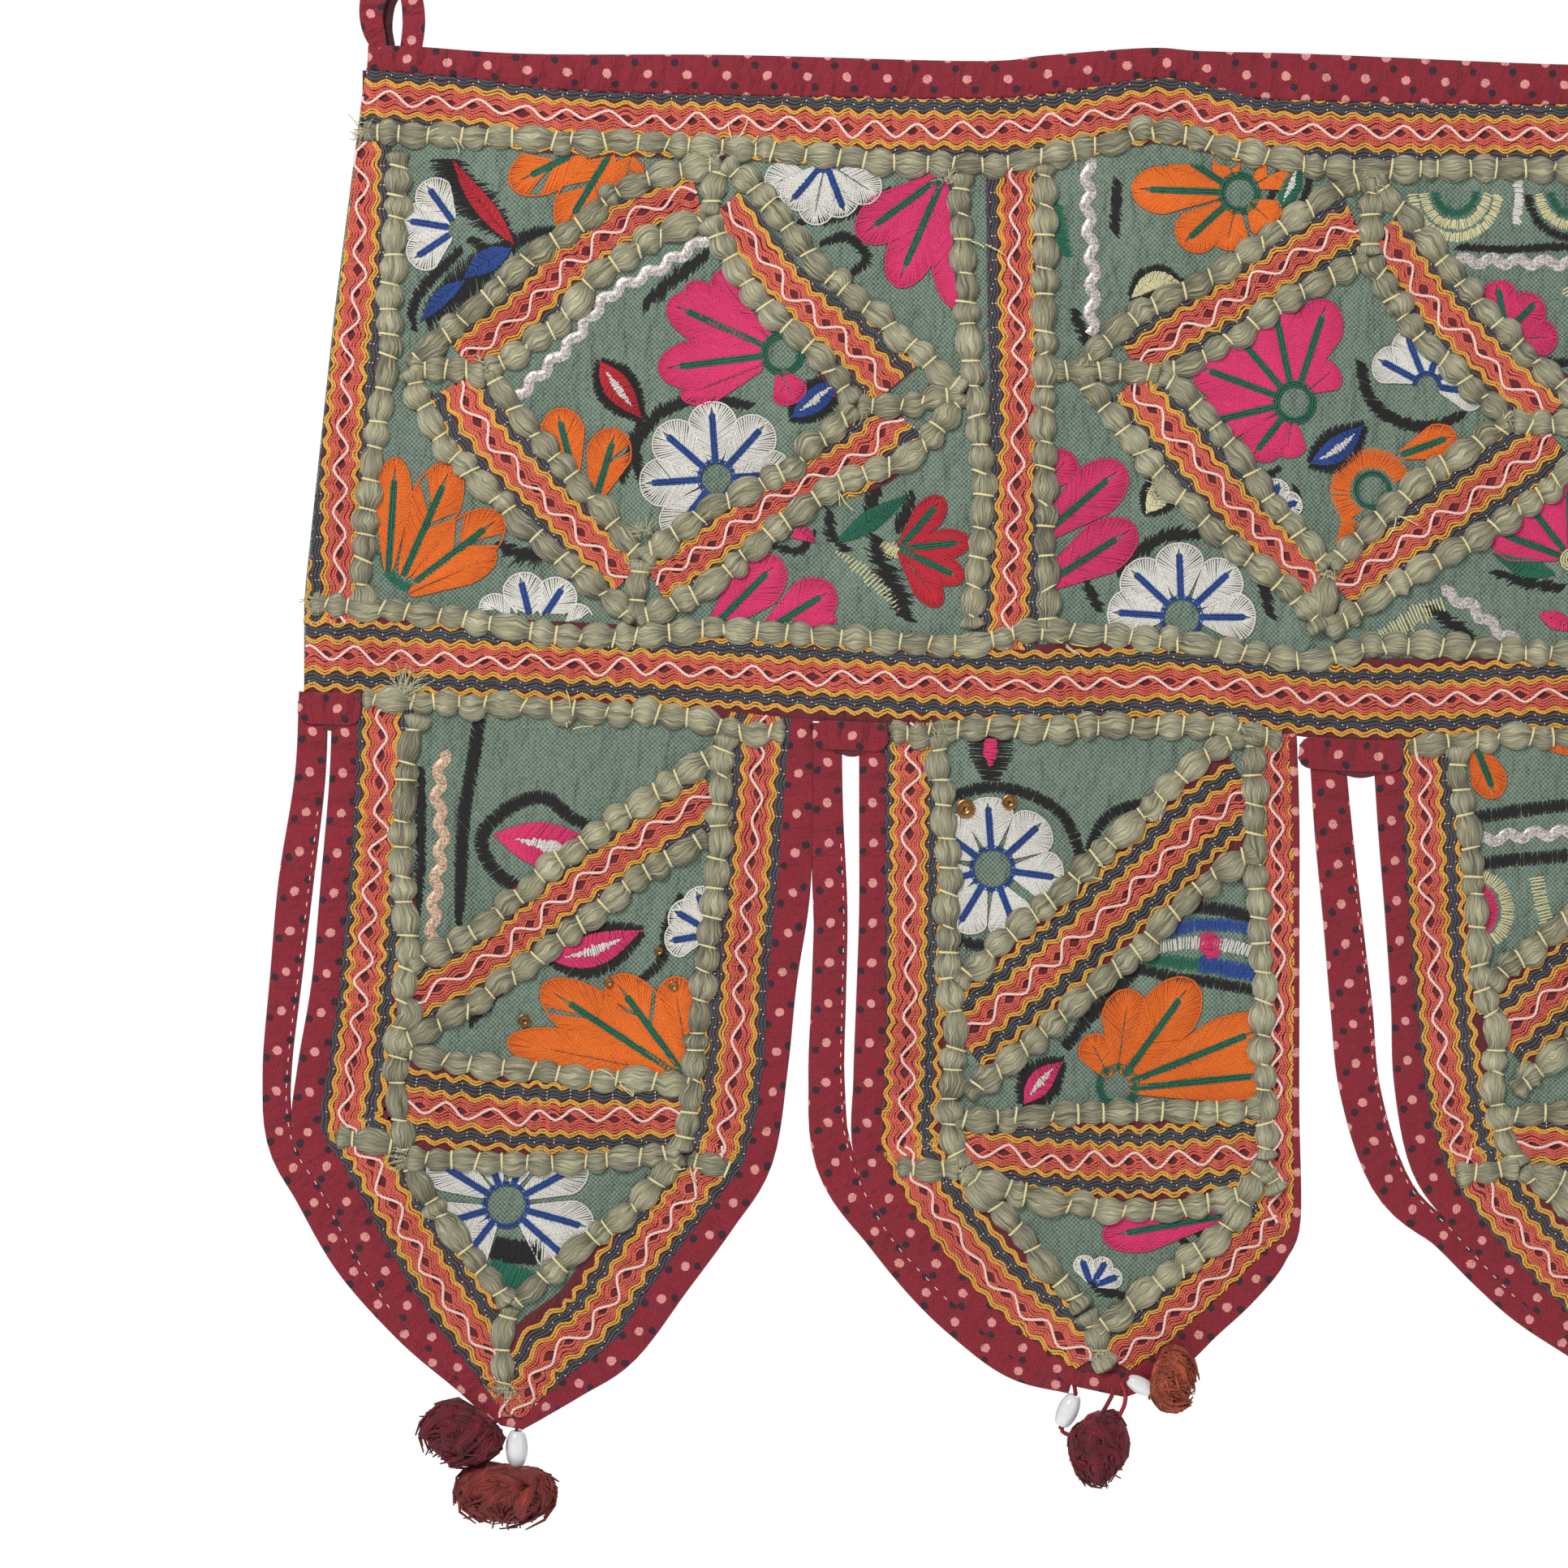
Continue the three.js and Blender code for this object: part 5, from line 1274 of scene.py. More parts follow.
middle.flower("white", "blue", (-212, -146), 5.6, 26.5, (184, 139, 94, 48, 4, 232), 8.2)
middle.petal("orange", (-261, -146), (-267, -122), 7.4, "green", 0.84)
middle.petal("orange", (-254, -154), (-246.5, -129), 7.6, "green", 0.84, eyes=[(0.7, -3, 1.3)])
patches_1 = (middle, corners)
show("square_1", patches_1)
show("square_3", [patch.moved(SQUARE_FRAMES[0], SQUARE_FRAMES[2], True) for patch in patches_1])

middle, corners = square_patches(SQUARE_CORDS[1])
# Upper left: silver braid, an orange flower, a green bud and a cream bud
corners.braid("silver", [(-84, -36), (-84, -55), (-82.5, -75), (-83, -97)])
corners.satin("black", [(-74, -44), (-74.5, -53), (-75, -62)], 3.6, 0.9)
corners.satin("black", [(-89, -88), (-85, -98), (-80, -104)], [3, 4, 2.5], 0.9, ragged=0.3)
corners.satin("green", [(-95, -52), (-94, -62), (-91, -70)], [5, 6, 3], 0.4)
corners.flower("orange", "green", (-32, -48), 6, 37, (178,), 8, 0.62, ring=False)
corners.flower("orange", "green", (-32, -48), 6, 27, (148, 222), 7.6, 0.62, ring=False)
corners.flower("orange", None, (-32, -48), 6, 20, (256, 30, 110), 7, 0.62, ring=False)
corners.flower("orange", None, (-32, -48), 5, 16, (318,), 7, 0.62, ring=False)
corners.ring("green", (-32, -48), 5.4, 3)
corners.satin("black", [(-62, -36), (-50, -32), (-38, -30), (-30, -32)], [3, 4, 4, 3], 1, ragged=0.3)
corners.leaf("green", [(-18, -53), (-14, -45), (-11, -36)], 7, "white")
corners.satin("black", [(-22, -52), (-19, -44), (-17, -35)], 2.6, 0.8)
corners.satin("black", [(-13, -55), (-9, -48), (-7, -40)], 2.6, 0.8)
corners.bud("cream", [(-69, -84), (-61, -78), (-51, -80)], 6, None, 2.8)
# Upper right: two bows of cream and green, braid and a pink flower
for centre in ((43, -47), (83, -47)):
    for reach, silk in ((7.2, "green"), (11, "cream"), (15, "black" if centre[0] > 60 else "cream")):
        turn = np.radians(np.linspace(185, 355, 9))
        bow = [(centre[0] + reach * math.cos(a), centre[1] + reach * 1.05 * math.sin(a)) for a in turn]
        corners.satin(silk, bow, 3.2, 0.1, 0.72, 0.08)
corners.satin("white", [(64, -36), (65, -47), (64, -58)], 3, 0.1)
corners.satin("black", [(44, -66), (60, -67), (78, -66), (96, -67)], 2.6, 0.9)
corners.braid("silver", [(44, -71), (60, -71), (80, -71.5), (97, -72)])
corners.petal("pink", (60, -92), (57, -78), 6, "green", 0.84)
corners.petal("pink", (62, -94), (72, -84), 6.4, "green", 0.84)
corners.petal("pink", (63, -98), (78, -97), 6, None, 0.84)
corners.satin("black", [(50, -82), (55, -90), (62, -100), (72, -106), (84, -106)], [2.5, 4, 4, 4, 2.5], 0.8,
              ragged=0.3)
corners.satin("cream", [(82, -80), (88, -90), (95, -96)], 5, 0.1, 1.2)
# Lower left: pink petals, a cream bud and a white flower
corners.petal("pink", (-101, -167), (-72, -142), 9, "green", 0.84, eyes=[(0.6, -3, 1.2)])
corners.petal("pink", (-101, -184), (-68, -163), 9, "green", 0.84)
corners.petal("pink", (-100, -150), (-90, -138), 6.5, None, 0.84)
corners.bud("cream", [(-64, -158), (-59, -151), (-55, -143)], 8, None, 3)
corners.satin("black", [(-74, -178), (-66, -171), (-56, -166), (-45, -166)], [3, 4.5, 4.5, 3], 1, ragged=0.3)
corners.satin("black", [(-88, -172), (-84, -184), (-80, -192)], [4, 3, 3], 1, ragged=0.3)
corners.flower("white", "blue", (-52, -194), 6.4, 25.5, (176, 137, 92, 43, 0), 8.2)
corners.satin("black", [(-26, -172), (-24, -182), (-21, -194)], [3, 4, 3], 1.1, ragged=0.3)
# Lower right: a pink flower, leaves, braid and a cream ladder leaf
corners.flower("pink", "green", (83, -174), 4, 29, (160, 128, 92), 7.6, 0.62, ring=False)
corners.ring("cream", (83, -174), 2, 3)
corners.leaf("green", [(77, -179), (66, -176), (56, -172)], 7)
corners.satin("black", [(80, -184), (68, -182), (56, -178)], [3, 4, 2], 1, ragged=0.3)
corners.satin("black", [(78, -168), (70, -168), (62, -165)], [2, 3.5, 2], 1, ragged=0.3)
corners.braid("silver", [(38, -185), (48, -190), (56, -197), (66, -204)])
corners.satin("black", [(34, -190), (42, -196), (50, -203)], [3, 4.5, 3], 1.2, ragged=0.35)
corners.satin("cream", [(14, -204), (22, -198), (30, -193), (38, -189)], 6, 0.1, 1.2)
corners.leaf("pink", [(72, -193), (78, -195), (84, -199)], 6)
# Centre: a large pink flower, a white flower, a blue bud and orange arcs round a green ring
middle.flower("pink", "green", (-13, -120), 6.6, 37, (72, 102, 131, 160, 193), 8.4, 0.62, ring=False)
middle.flower("pink", "green", (-13, -120), 6.6, 24, (232,), 7, 0.62, ring=False)
middle.flower("pink", None, (-13, -120), 6.6, 19, (262, 40), 6, 0.62, ring=False)
middle.ring("green", (-13, -120), 5.6, 3)
middle.flower("white", "blue", (33, -114), 4.4, 20.5, (152, 112, 72, 32, 352), 6.6, 0.78, ring=False)
middle.ring("blue", (33, -114), 4, 2, 0, 180)
middle.satin("black", [(-44, -134), (-36, -142), (-26, -146), (-18, -143)], [2.5, 4, 4, 2.5], 0.8, ragged=0.3)
middle.satin("black", [(10, -106), (13, -118), (22, -126), (34, -128), (46, -124)], [3.5, 4.2, 4.2, 4, 3],
             0.8)
middle.bud("blue", [(-7, -141), (2, -136), (11, -128)], 8.4, rim=3.8)
middle.satin("black", [(-12, -150), (-14, -160), (-12, -168)], [3.5, 4, 3], 0.9, ragged=0.3)
middle.ring("green", (14, -150), 5.4, 2)
turn = np.radians(np.linspace(20, 235, 12))
middle.satin("orange", [(14 + 11 * math.cos(a), -150 + 11 * math.sin(a)) for a in turn], 7, 0.2, 0.6, 0.06)
middle.petal("orange", (24, -138), (43, -131), 6, "green", 0.84)
middle.satin("orange", [(6, -160), (4, -168), (2, -172)], [6, 5, 3], 0.2)
middle.flower("white", "blue", (-22, -158), 2, 12, (20, 70), 4.4, ring=False)
show("square_2", (middle, corners))


def pennant_patches(routes):
    top, left, left_point, right, right_point = (spaced(through(routes[i], 6), count=14) for i in range(5))
    slant_up, slant_down, cross_up, cross_down = (spaced(through(routes[i], 6), count=14)
                                                  for i in (8, 9, 10, 11))
    if slant_up[0, 0] > slant_up[-1, 0]:
        slant_up, slant_down = slant_up[::-1], slant_down[::-1]
    upper = np.vstack([slant_up, right[:1], top[::-1], left[:1]])
    middle = np.vstack([slant_down, cross_up[::-1]])
    point = np.vstack([cross_down, right_point[1:], left_point[::-1][1:]])
    return Patch(upper), Patch(middle), Patch(point)


upper, middle, point = pennant_patches(PENNANT_ROUTES[0])
# First pennant: braid, a satin stem and a pink bud; an orange flower; a blue and white wheel
upper.braid("champagne", [(-306, -240), (-308, -255), (-306.5, -270), (-309, -290), (-310, -310)])
upper.satin("black", [(-293.5, -228), (-296, -244), (-299, -262), (-300, -280), (-301, -300)],
            [4.4, 4.6, 4.4, 4.4, 2.5], 0.9, 0.6, 0.08)
upper.satin("black", [(-313.5, -246), (-313.8, -262), (-314, -280), (-315, -296)], [2.5, 3.5, 3.5, 2], 0.9)
upper.satin("black", [(-252, -268), (-262, -263), (-272, -256), (-284, -260), (-293, -270), (-288, -282),
                      (-276, -289), (-266, -292)],
            [3.5, 4.6, 5, 5, 5, 5, 4.6, 3.5], 0.15, 0.55, 0.06)
upper.leaf("pink", [(-288, -269), (-274, -272), (-256, -277), (-246, -280)], 16, "white")
middle.bud("pink", [(-269, -312), (-255, -309), (-238, -302)], 11, rim=4.2)
middle.satin("black", [(-239, -320), (-231, -312), (-229, -300), (-224, -290)], [3, 4, 4, 3], 0.3, 0.6, 0.1)
middle.flower("white", "blue", (-213, -303), 3, 17, (150, 190, 112), 6, ring=False)
middle.petal("orange", (-226, -352), (-284, -340), 7.6, None, 0.84)
middle.petal("orange", (-225, -352), (-272, -321), 9.5, "green", 0.84, eyes=[(0.8, 4, 1.5)])
middle.petal("orange", (-223, -352), (-248, -318), 9, "green", 0.84, eyes=[(0.75, 3, 1.5), (0.6, -4, 1.3)])
middle.petal("orange", (-221, -352), (-227, -318), 8, None, 0.84)
middle.satin("black", [(-297, -334), (-290, -327), (-282, -318)], [2.5, 3, 2], 0.9, ragged=0.3)
point.flower("white", "blue", (-284.5, -396.5), 7, 31, (148, 196, 28, 344, 318, 232), 7.6)
point.flower("white", "blue", (-284.5, -396.5), 7, 26, (110, 70), 6, ring=False)
point.satin("black", [(-289, -411), (-281, -413), (-273, -413)], 8, 0.1, 0.6, 0.08, 0.6)
point.satin("green", [(-290, -418), (-283, -421), (-276, -423)], [6, 8, 6], 0.1, 0.6, 0.08, 0.6)
patches_1 = (upper, middle, point)
show("pennant_1", patches_1)

upper, middle, point = pennant_patches(PENNANT_ROUTES[1])
# Second pennant: a white wheel under a black arch; a striped leaf and an orange fan; a pink petal
upper.satin("black", [(-117.8, -233), (-117.6, -241), (-117.6, -250)], [15, 15, 6], 0.05, 0.6, 0.05)
upper.satin("pink", [(-117.8, -236), (-117.6, -241), (-117.8, -245)], [4, 5, 1.5], 0.05, 0.6, 0.05, 0.5)
upper.satin("black", [(-133, -256), (-118, -252.5), (-104, -255), (-93, -262), (-88, -272), (-86, -280)], 4,
            0.05, 0.56, 0.06)
upper.satin("black", [(-84, -274), (-79, -264), (-70, -259), (-62, -258)], [3, 4, 4, 3], 0.05, 0.56, 0.06)
upper.satin("black", [(-130, -304), (-122, -307), (-113, -308)], 4, 0.1)
upper.flower("white", "blue", (-117, -280.5), 6.8, 24.5, (94, 43, 352, 291, 239, 143, 195), 8.4, 0.74)
middle.satin("black", [(-62, -299), (-50, -294), (-36, -295), (-24, -299)], 4.6, 0.1, 0.58, 0.07)
middle.satin("blue", [(-60, -303), (-48, -300), (-36, -300), (-24, -302)], 4.6, 0.1, 0.6, 0.05)
middle.satin("white", [(-60, -307.5), (-48, -306), (-36, -307), (-24, -310)], 4.4, 0.1, 0.9, 0.05)
middle.satin("green", [(-64, -312), (-56, -312.5), (-46, -313.5)], 4.6, 0.1, 0.6, 0.05)
middle.satin("blue", [(-46, -313), (-36, -315), (-24, -317)], 6, 0.1, 0.6, 0.05)
middle.satin("pink", [(-44, -303), (-42, -307), (-41, -311)], [4, 8, 4], 0.1, 0.6, 0.1, 0.5)
middle.satin("black", [(-66, -315), (-54, -318), (-40, -320), (-24, -323)], 4, 0.1, 0.58, 0.07)
middle.petal("orange", (-74, -350), (-70, -322), 8, None, 0.84)
middle.petal("orange", (-72, -352), (-48, -319), 9.6, "green", 0.84)
middle.petal("orange", (-70, -354), (-20, -334), 9, "green", 0.84)
middle.petal("orange", (-70, -356), (-18, -351), 8, "green", 0.84)
middle.petal("orange", (-77, -352), (-84, -338), 6, None, 0.84)
middle.ring("green", (-74, -355), 5.6, 3)
middle.satin("black", [(-92, -342), (-84, -332), (-74, -322), (-66, -314)], [4, 4.5, 4.5, 3.5], 0.1, 0.58,
             0.08)
middle.bud("pink", [(-106, -361), (-99, -352), (-93, -347)], 8, rim=4)
middle.satin("black", [(-118, -352), (-110, -345), (-102, -340)], [3, 4, 3], 0.4)
point.petal("pink", (-38, -400), (-79, -407), 7.4, "green", 0.84)
point.satin("black", [(-48, -414), (-52, -408), (-56, -402)], [2.5, 3, 2], 1, ragged=0.3)
point.satin("black", [(-42, -412), (-46, -406), (-48, -400)], [2.5, 3, 2], 1, ragged=0.3)
point.satin("black", [(-86, -420), (-78, -426), (-70, -428)], [2, 4, 2], 1, ragged=0.3)
point.flower("white", "blue", (-83, -424), 1.5, 11, (60, 110, 20), 3.6, ring=False)
patches_2 = (upper, middle, point)
show("pennant_2", patches_2)

# Third pennant: orange petals over black bars, braid and cream arcs; then patches like the first's
upper, _, _ = pennant_patches(PENNANT_ROUTES[2])
upper.petal("orange", (49, -236), (57, -256), 6, "green", 0.84)
upper.petal("orange", (62, -232), (90, -238), 5, None, 0.84)
upper.satin("black", [(50, -263), (70, -260), (92, -258), (112, -260)], 4.6, 0.05, 0.58, 0.06)
upper.satin("black", [(50, -279), (70, -277), (92, -276), (108, -278)], 4.6, 0.05, 0.58, 0.06)
upper.braid("silver", [(50, -271), (66, -269), (84, -268), (104, -268)])
turn = np.radians(np.linspace(-80, 80, 7))
upper.satin("cream", [(50 + 11 * math.cos(a), -295 + 12 * math.sin(a)) for a in turn], 4.4, 0.05, 0.9, 0.06)
upper.satin("pink", [(50 + 6 * math.cos(a), -295 + 8 * math.sin(a)) for a in turn], 3.6, 0.05, 0.62, 0.06)
upper.satin("cream", [(71, -284), (73, -294), (76, -303)], 5, 0.05, 1.1, 0.06)
upper.flower("white", "blue", (128, -248), 5, 18, (180, 225, 270, 315, 0), 6.4)
_, middle, point = (patch.moved(PENNANTS[0], PENNANTS[2]) for patch in patches_1)
show("pennant_3", (upper, middle, point))
upper, middle, point = (patch.moved(PENNANTS[1], PENNANTS[3]) for patch in patches_2)
show("pennant_4", (upper, middle, point))

# Sequins
# Small dished metal discs, brown with age, each held by a thread through its hole.
sequin_metal = bpy.data.materials.new("aged_sequin")
sequin_metal.use_nodes = True
add, maths, mixed = nodes_of(sequin_metal.node_tree)
shader = sequin_metal.node_tree.nodes["Principled BSDF"]
space = add("ShaderNodeTexCoord").outputs["Object"]
age = add("ShaderNodeTexNoise", {"Vector": space, "Scale": 60.0, "Detail": 3.0}).outputs["Fac"]
sequin_metal.node_tree.links.new(mixed(age, dye(74, 48, 36), dye(190, 132, 70)), shader.inputs["Base Color"])
shader.inputs["Metallic"].default_value = 0.8
shader.inputs["Roughness"].default_value = 0.32
bm = bmesh.new()
for x, z, radius in ((-126.3, -259.8, 3.3), (-111.2, -257.6, 2.6), (-278.3, -333, 2.2), (-249.2, -319.8, 1.8),
                     (-226.8, -321.2, 1.8), (-232, -309, 1.6), (234, -262, 3.0), (120, -322, 2.0)):
    disc = bmesh.ops.create_circle(bm, segments=20, radius=radius)["verts"]
    edges = list({edge for v in disc for edge in v.link_edges})
    rings = bmesh.ops.extrude_edge_only(bm, edges=edges)["geom"]
    inner = [g for g in rings if isinstance(g, bmesh.types.BMVert)]
    bmesh.ops.scale(bm, vec=(0.62, 0.62, 1), verts=inner)
    bmesh.ops.translate(bm, vec=(0, 0, -0.35), verts=inner)
    edges = [g for g in rings if isinstance(g, bmesh.types.BMEdge)]
    hole = [g for g in bmesh.ops.extrude_edge_only(bm, edges=edges)["geom"]
            if isinstance(g, bmesh.types.BMVert)]
    bmesh.ops.scale(bm, vec=(0.3, 0.3, 1), verts=hole)
    for v in disc + inner + hole:
        v.co = hang((v.co.x + x, v.co.y + z, 2.0 + v.co.z))
bmesh.ops.recalc_face_normals(bm, faces=bm.faces)
sequins = make_piece("sequins", bm, sequin_metal, "bead_glass")
body = sequins.modifiers.new("thickness", "SOLIDIFY")
body.thickness = 0.00025


# Pompoms
# Cut wool yarn is bunched and tied to the tip by a thread through a glass bead. Its clumped locks
# turn outwards from the tie.
def wool(name, dark, light):
    lock = bpy.data.materials.new(name)
    lock.use_nodes = True
    add, maths, mixed = nodes_of(lock.node_tree)
    shader = lock.node_tree.nodes["Principled BSDF"]
    place = add("ShaderNodeUVMap", uv_map="cloth_mm").outputs[0]
    moved = add("ShaderNodeMapping", {"Vector": place, "Scale": (0.12, 2.6, 1)}).outputs[0]
    fibre = add("ShaderNodeTexNoise", {"Vector": moved, "Scale": 1.0, "Detail": 4.0}).outputs["Fac"]
    space = add("ShaderNodeTexCoord").outputs["Object"]
    patch = add("ShaderNodeTexNoise", {"Vector": space, "Scale": 160.0, "Detail": 2.0}).outputs["Fac"]
    share = maths("ADD", maths("MULTIPLY", maths("SUBTRACT", fibre, 0.5), 3.2), patch)
    lock.node_tree.links.new(mixed(share, dark, light), shader.inputs["Base Color"])
    shader.inputs["Roughness"].default_value = 0.9
    shader.inputs["Sheen Weight"].default_value = 0.06
    bump = add("ShaderNodeBump", {"Height": fibre, "Strength": 1.0, "Distance": 0.0016})
    lock.node_tree.links.new(bump.outputs[0], shader.inputs["Normal"])
    return lock


maroon_wool = wool("maroon_wool", dye(44, 4, 16), dye(164, 34, 56))
brown_wool = wool("brown_red_wool", dye(58, 8, 12), dye(192, 70, 58))
rust_wool = wool("rust_wool", dye(86, 18, 12), dye(236, 112, 72))


def tubes(name, lines, radii, sides, finish, slot, *stands_for):
    """Round strands along lines of x, y and z in millimetres, all with as many points."""
    lines = np.asarray(lines, float)
    count, stations = lines.shape[:2]
    radii = np.broadcast_to(radii, (count, stations))
    run = np.gradient(lines, axis=1)
    run /= np.maximum(np.linalg.norm(run, axis=2, keepdims=True), 1e-9)
    mean = np.abs(run.mean(axis=1))
    guide = np.eye(3)[mean.argmin(axis=1)][:, None]
    first = np.cross(run, guide)
    first /= np.maximum(np.linalg.norm(first, axis=2, keepdims=True), 1e-9)
    second = np.cross(run, first)
    turn = np.linspace(0, 2 * np.pi, sides + 1)[None, :, None, None]
    rings = first[:, None] * np.cos(turn) + second[:, None] * np.sin(turn)
    points = lines[:, None] + rings * radii[:, None, :, None]
    bm = bmesh.new()
    bmesh.ops.create_grid(bm, x_segments=stations - 1, y_segments=count * (sides + 1) - 1, size=0.5)
    gaps = [f for i, f in enumerate(bm.faces) if i // (stations - 1) % (sides + 1) == sides]
    if gaps:
        bmesh.ops.delete(bm, geom=gaps, context="FACES")
    shape = bpy.data.meshes.new(name)
    bm.to_mesh(shape)
    bm.free()
    shape.vertices.foreach_set("co", (points / 1000).ravel())
    gone = np.cumsum(np.linalg.norm(np.diff(lines, axis=1, prepend=lines[:, :1]), axis=2), axis=1)
    gone += rng.uniform(0, 60, (count, 1))
    u = np.broadcast_to(gone[:, None], points.shape[:3])
    v = np.broadcast_to(turn[..., 0] * radii.max() + 9 * np.arange(count)[:, None, None], points.shape[:3])
    corners = np.empty(len(shape.loops), int)
    shape.loops.foreach_get("vertex_index", corners)
    layer = shape.uv_layers.new(name="cloth_mm")
    layer.data.foreach_set("uv", np.stack([u.ravel(), v.ravel()], axis=1)[corners].ravel())
    bm = bmesh.new()
    bm.from_mesh(shape)
    bmesh.ops.remove_doubles(bm, verts=bm.verts, dist=1e-6)
    bmesh.ops.recalc_face_normals(bm, faces=bm.faces)
    bm.to_mesh(shape)
    bm.free()
    return make_piece(name, shape, finish, slot, *stands_for)


# Middle of each pompom, how wide and how high it is, its wool and where its tie is
POMPOMS = {
    "pompom_1_lower": ((-285, 0, -496.3), (35, 24), brown_wool, (0.15, 0, 0.9)),
    "pompom_1_upper": ((-300, -1, -475.3), (29, 23), maroon_wool, (0.5, 0, 0.5)),
    "pompom_3_lower": ((113, 0, -486.8), (33, 23), brown_wool, (-0.15, 0, 0.9)),
    "pompom_3_upper": ((128, -1, -469.3), (28, 22), maroon_wool, (-0.5, 0, 0.5)),
    "pompom_4_lower": ((297.5, 0, -494.8), (34, 24), brown_wool, (0.15, 0, 0.9)),
    "pompom_4_upper": ((282.5, -1, -475.8), (28, 24), maroon_wool, (0.5, 0, 0.5)),
    "pompom_2_dark": ((-80.4, 0, -479.5), (20, 29), maroon_wool, (-0.3, 0, 0.9)),
    "pompom_2_rust": ((-55.6, -5.5, -455.4), (17, 22), rust_wool, (-0.6, 0, 0.3)),
}
LOCKS = 36
FINE_HAIRS = 240
for name, ((x, y, z), (wide, high), finish, tie) in POMPOMS.items():
    size = np.array([wide / 2, 8.8, high / 2])
    slot = "dark_wool" if finish is not rust_wool else "rust_wool"
    place = np.array([x, y + drape(x, z), z])
    pole = np.asarray(tie) / np.linalg.norm(tie)
    right = np.array([-pole[2], 0, pole[0]])
    back = np.cross(pole, right)

    def flowing(count, sweep, bulge, stations):
        """Strands that leave the tie on all sides and lie down over the ball."""
        turn = (np.arange(count) * math.pi * (3 - math.sqrt(5)) + x)[:, None]
        t = np.linspace(0, 1, stations)[None]
        angle = 0.12 + (sweep[:, None] - 0.12) * t
        sway = rng.normal(0, 0.42, (count, 1))
        turn = turn + sway * np.sin(3.2 * np.pi * t + rng.uniform(0, 6, (count, 1)))
        far = bulge[:, None] * (0.42 + 0.58 * np.clip(angle / 0.9, 0, 1))
        far = far + rng.normal(0, 0.015, (count, stations))
        out = right * np.cos(turn)[..., None] + back * np.sin(turn)[..., None]
        lines = pole * np.cos(angle)[..., None] + out * np.sin(angle)[..., None]
        return lines * far[..., None] * size + place

    def flicked(lines, reach):
        """The same strands with their cut ends standing off the ball by up to reach of its size."""
        end = np.linspace(0, 1, lines.shape[1])[None, :, None] ** 4
        return lines + (lines - place) * end * rng.uniform(-0.05, reach, (len(lines), 1, 1))

    sweep = np.arccos(1 - 2 * (0.22 + 0.76 * (np.arange(LOCKS) + 0.5) / LOCKS))
    lines = flowing(LOCKS, sweep, rng.uniform(0.76, 0.87, LOCKS), 9)
    shape = np.array([0.5, 0.84, 1, 1.06, 1.1, 1.1, 1.07, 0.94, 0.5])
    radii = 0.165 * (wide + high) / 2 * 0.6 * shape * rng.uniform(0.8, 1.1, (LOCKS, 1))
    tubes(f"{name}_wool", lines, radii, 6, finish, slot, name)
    sweep = np.arccos(rng.uniform(-1, 0.7, FINE_HAIRS))
    fine = flowing(FINE_HAIRS, sweep, rng.uniform(0.86, 1.04, FINE_HAIRS), 7)
    thick = 0.58 * np.array([1, 1, 1, 1, 0.97, 0.88, 0.4])
    tubes(f"{name}_fine_wool", flicked(fine, 0.09), thick, 4, finish, slot)
    bm = bmesh.new()
    bmesh.ops.create_icosphere(bm, subdivisions=2, radius=0.87)
    for v in bm.verts:
        v.co = (place + np.array(v.co) * size) / 1000
    shape = bpy.data.meshes.new(name)
    bm.to_mesh(shape)
    bm.free()
    shape.uv_layers.new(name="cloth_mm")
    make_piece(f"{name}_core", shape, finish, slot)


# Glass beads
# Milky white pressed glass, barrel shaped, with a red thread through it. The thread ties bead and
# pompom to the tip.
milk_glass = bpy.data.materials.new("milk_glass")
milk_glass.use_nodes = True
add, maths, mixed = nodes_of(milk_glass.node_tree)
shader = milk_glass.node_tree.nodes["Principled BSDF"]
space = add("ShaderNodeTexCoord").outputs["Object"]
cloud = add("ShaderNodeTexNoise", {"Vector": space, "Scale": 180.0, "Detail": 2.0}).outputs["Fac"]
milk_glass.node_tree.links.new(mixed(cloud, dye(206, 210, 212), dye(244, 246, 246)),
                               shader.inputs["Base Color"])
shader.inputs["Roughness"].default_value = 0.12
shader.inputs["Coat Weight"].default_value = 0.6
shader.inputs["Subsurface Weight"].default_value = 0.25
shader.inputs["Subsurface Scale"].default_value = 0.004
red_thread = yarn("red_thread", dye(120, 16, 30), dye(196, 40, 56), 1.0)
BEADS = {
    "bead_1": ((-281, 0, -480.9), 0, 1),
    "bead_3": ((109, 0, -471.9), 0, 1),
    "bead_4": ((301.5, 0, -479.4), 0, 1),
    "bead_2_left": ((-91, 0, -467), 25, 0.94),
    "bead_2_right": ((-66.5, -5.8, -457.5), -62, 0.78),
}
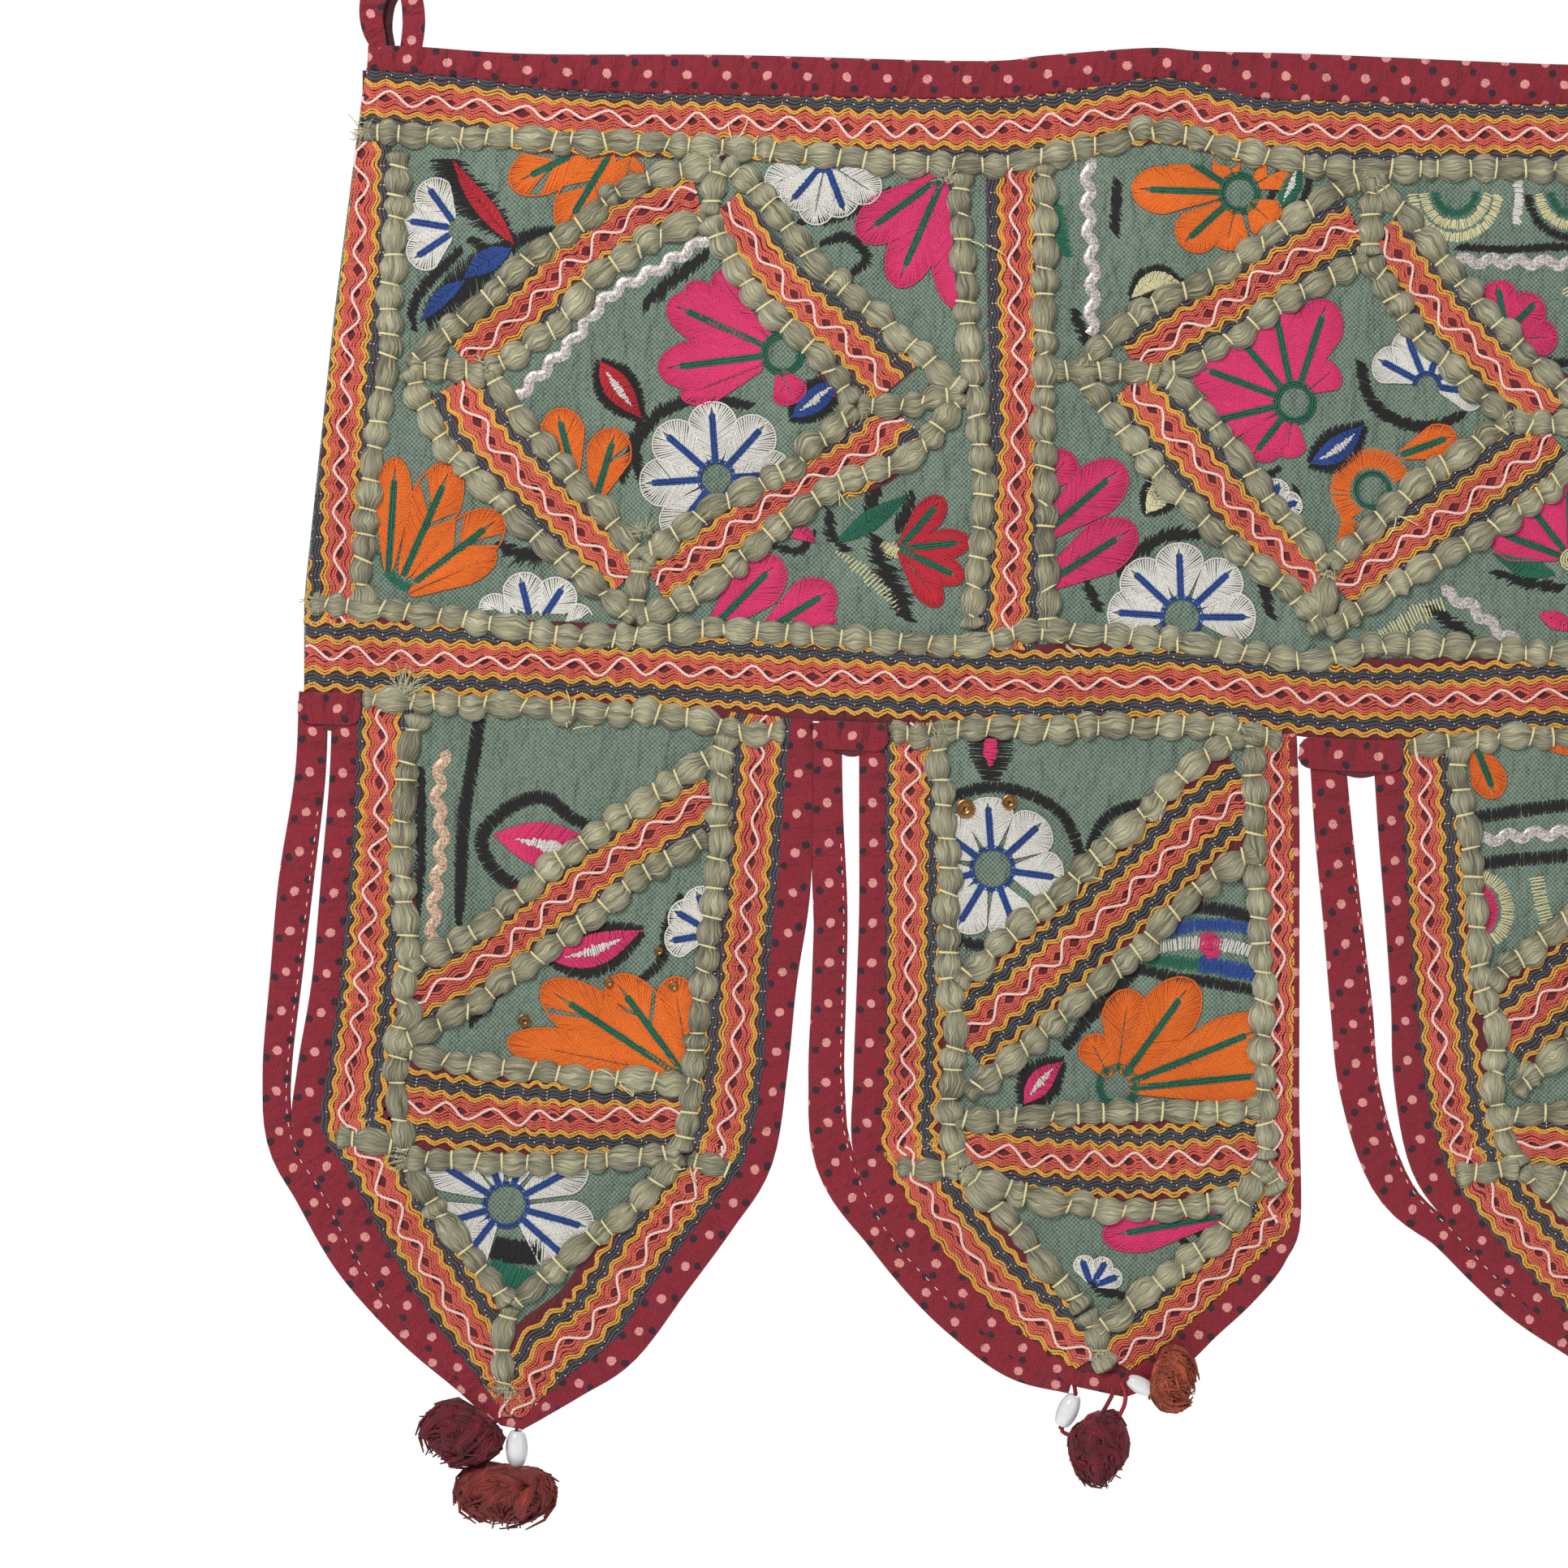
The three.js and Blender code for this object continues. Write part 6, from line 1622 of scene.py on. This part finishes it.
for name, ((x, y, z), tilt, scale) in BEADS.items():
    bm = bmesh.new()
    rim = [(0.9, -0.985), (1.7, -1), (2.35, -0.93), (3.2, -0.68), (3.75, -0.35), (3.9, 0)]
    rim = rim + [(r, -along) for r, along in rim[-2::-1]] + [(0.9, -0.985)]
    corners = [bm.verts.new((r * scale, 0, along * 6.3 * scale)) for r, along in rim[:-1]]
    edges = [bm.edges.new((a, b)) for a, b in zip(corners, corners[1:] + corners[:1])]
    bmesh.ops.spin(bm, geom=corners + edges, cent=(0, 0, 0), axis=(0, 0, 1), angle=2 * math.pi, steps=20,
                   use_merge=True)
    bmesh.ops.recalc_face_normals(bm, faces=bm.faces)
    swing = math.radians(tilt)
    for v in bm.verts:
        u, w = v.co.x, v.co.z
        v.co = ((u * math.cos(swing) + w * math.sin(swing) + x) / 1000, (v.co.y + y + drape(x, z)) / 1000,
                (w * math.cos(swing) - u * math.sin(swing) + z) / 1000)
    bead = make_piece(f"{name}_glass", bm, milk_glass, "bead_glass", name)
    body = bead.modifiers.new("smooth", "SUBSURF")
    body.levels = body.render_levels = 1
    way = np.array([math.sin(swing), 0, math.cos(swing)])
    middle = np.array([x, y + drape(x, z), z])
    ends = np.linspace(-7.4 * scale, 7.6 * scale, 5)[:, None] * way + middle
    tubes(f"{name}_thread", [ends], 0.55, 6, red_thread, "dotted_tape")
# The second pennant's pompom hangs from two red loops, and its left bead from the loose strip.
ties = [
    [(-89.6, 0.4, -457), (-88.2, 0.2, -460.5), (-91, 0, -467), (-93.5, 0.2, -472.6), (-91.5, 0.6, -475),
     (-86.5, 1.5, -475.5)],
    [(-76, 0.5, -456), (-75.6, 2.2, -460), (-77.4, 2.6, -464), (-79.4, 2, -467.5)],
    [(-73.6, 0.5, -456), (-71.6, 2.2, -460), (-71.6, 2.6, -464), (-73.4, 2, -468.5)],
]
ties = [[(x, drape(x, z) - front, z) for x, front, z in tie] for tie in ties]
tubes("pompom_2_ties", [spaced(through(tie, 8), count=18) for tie in ties], 0.75, 8, red_thread,
      "dotted_tape")


# Reverse of the stitching
# Each couching stitch goes through the cloth, so rows of small stitches show on its back: pale ones
# under the roving and dark ones under the bands.
for name, dashes, finish in (("reverse_roving_stitches", np.array(reverse_ties), couching_thread),
                             ("reverse_band_stitches", np.concatenate(reverse_rows), black_yarn)):
    on_cloth = (np.abs(dashes[..., 0]) < frieze_end(dashes[..., 1]) - 1.5).all(axis=1)
    dashes = dashes[on_cloth]
    dashes = np.dstack([dashes, np.full(dashes.shape[:2], -0.88)])
    lay(name, [(dashes, 0.34, 0.3)], [(1, 0), (0, -1), (-1, 0)], finish, "patchwork_cloth", apart=2.3)


# The two boxes, of the model and of the scene, side by side.
low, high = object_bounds()
[list(v) for v in (cad_low, cad_high, low, high)]
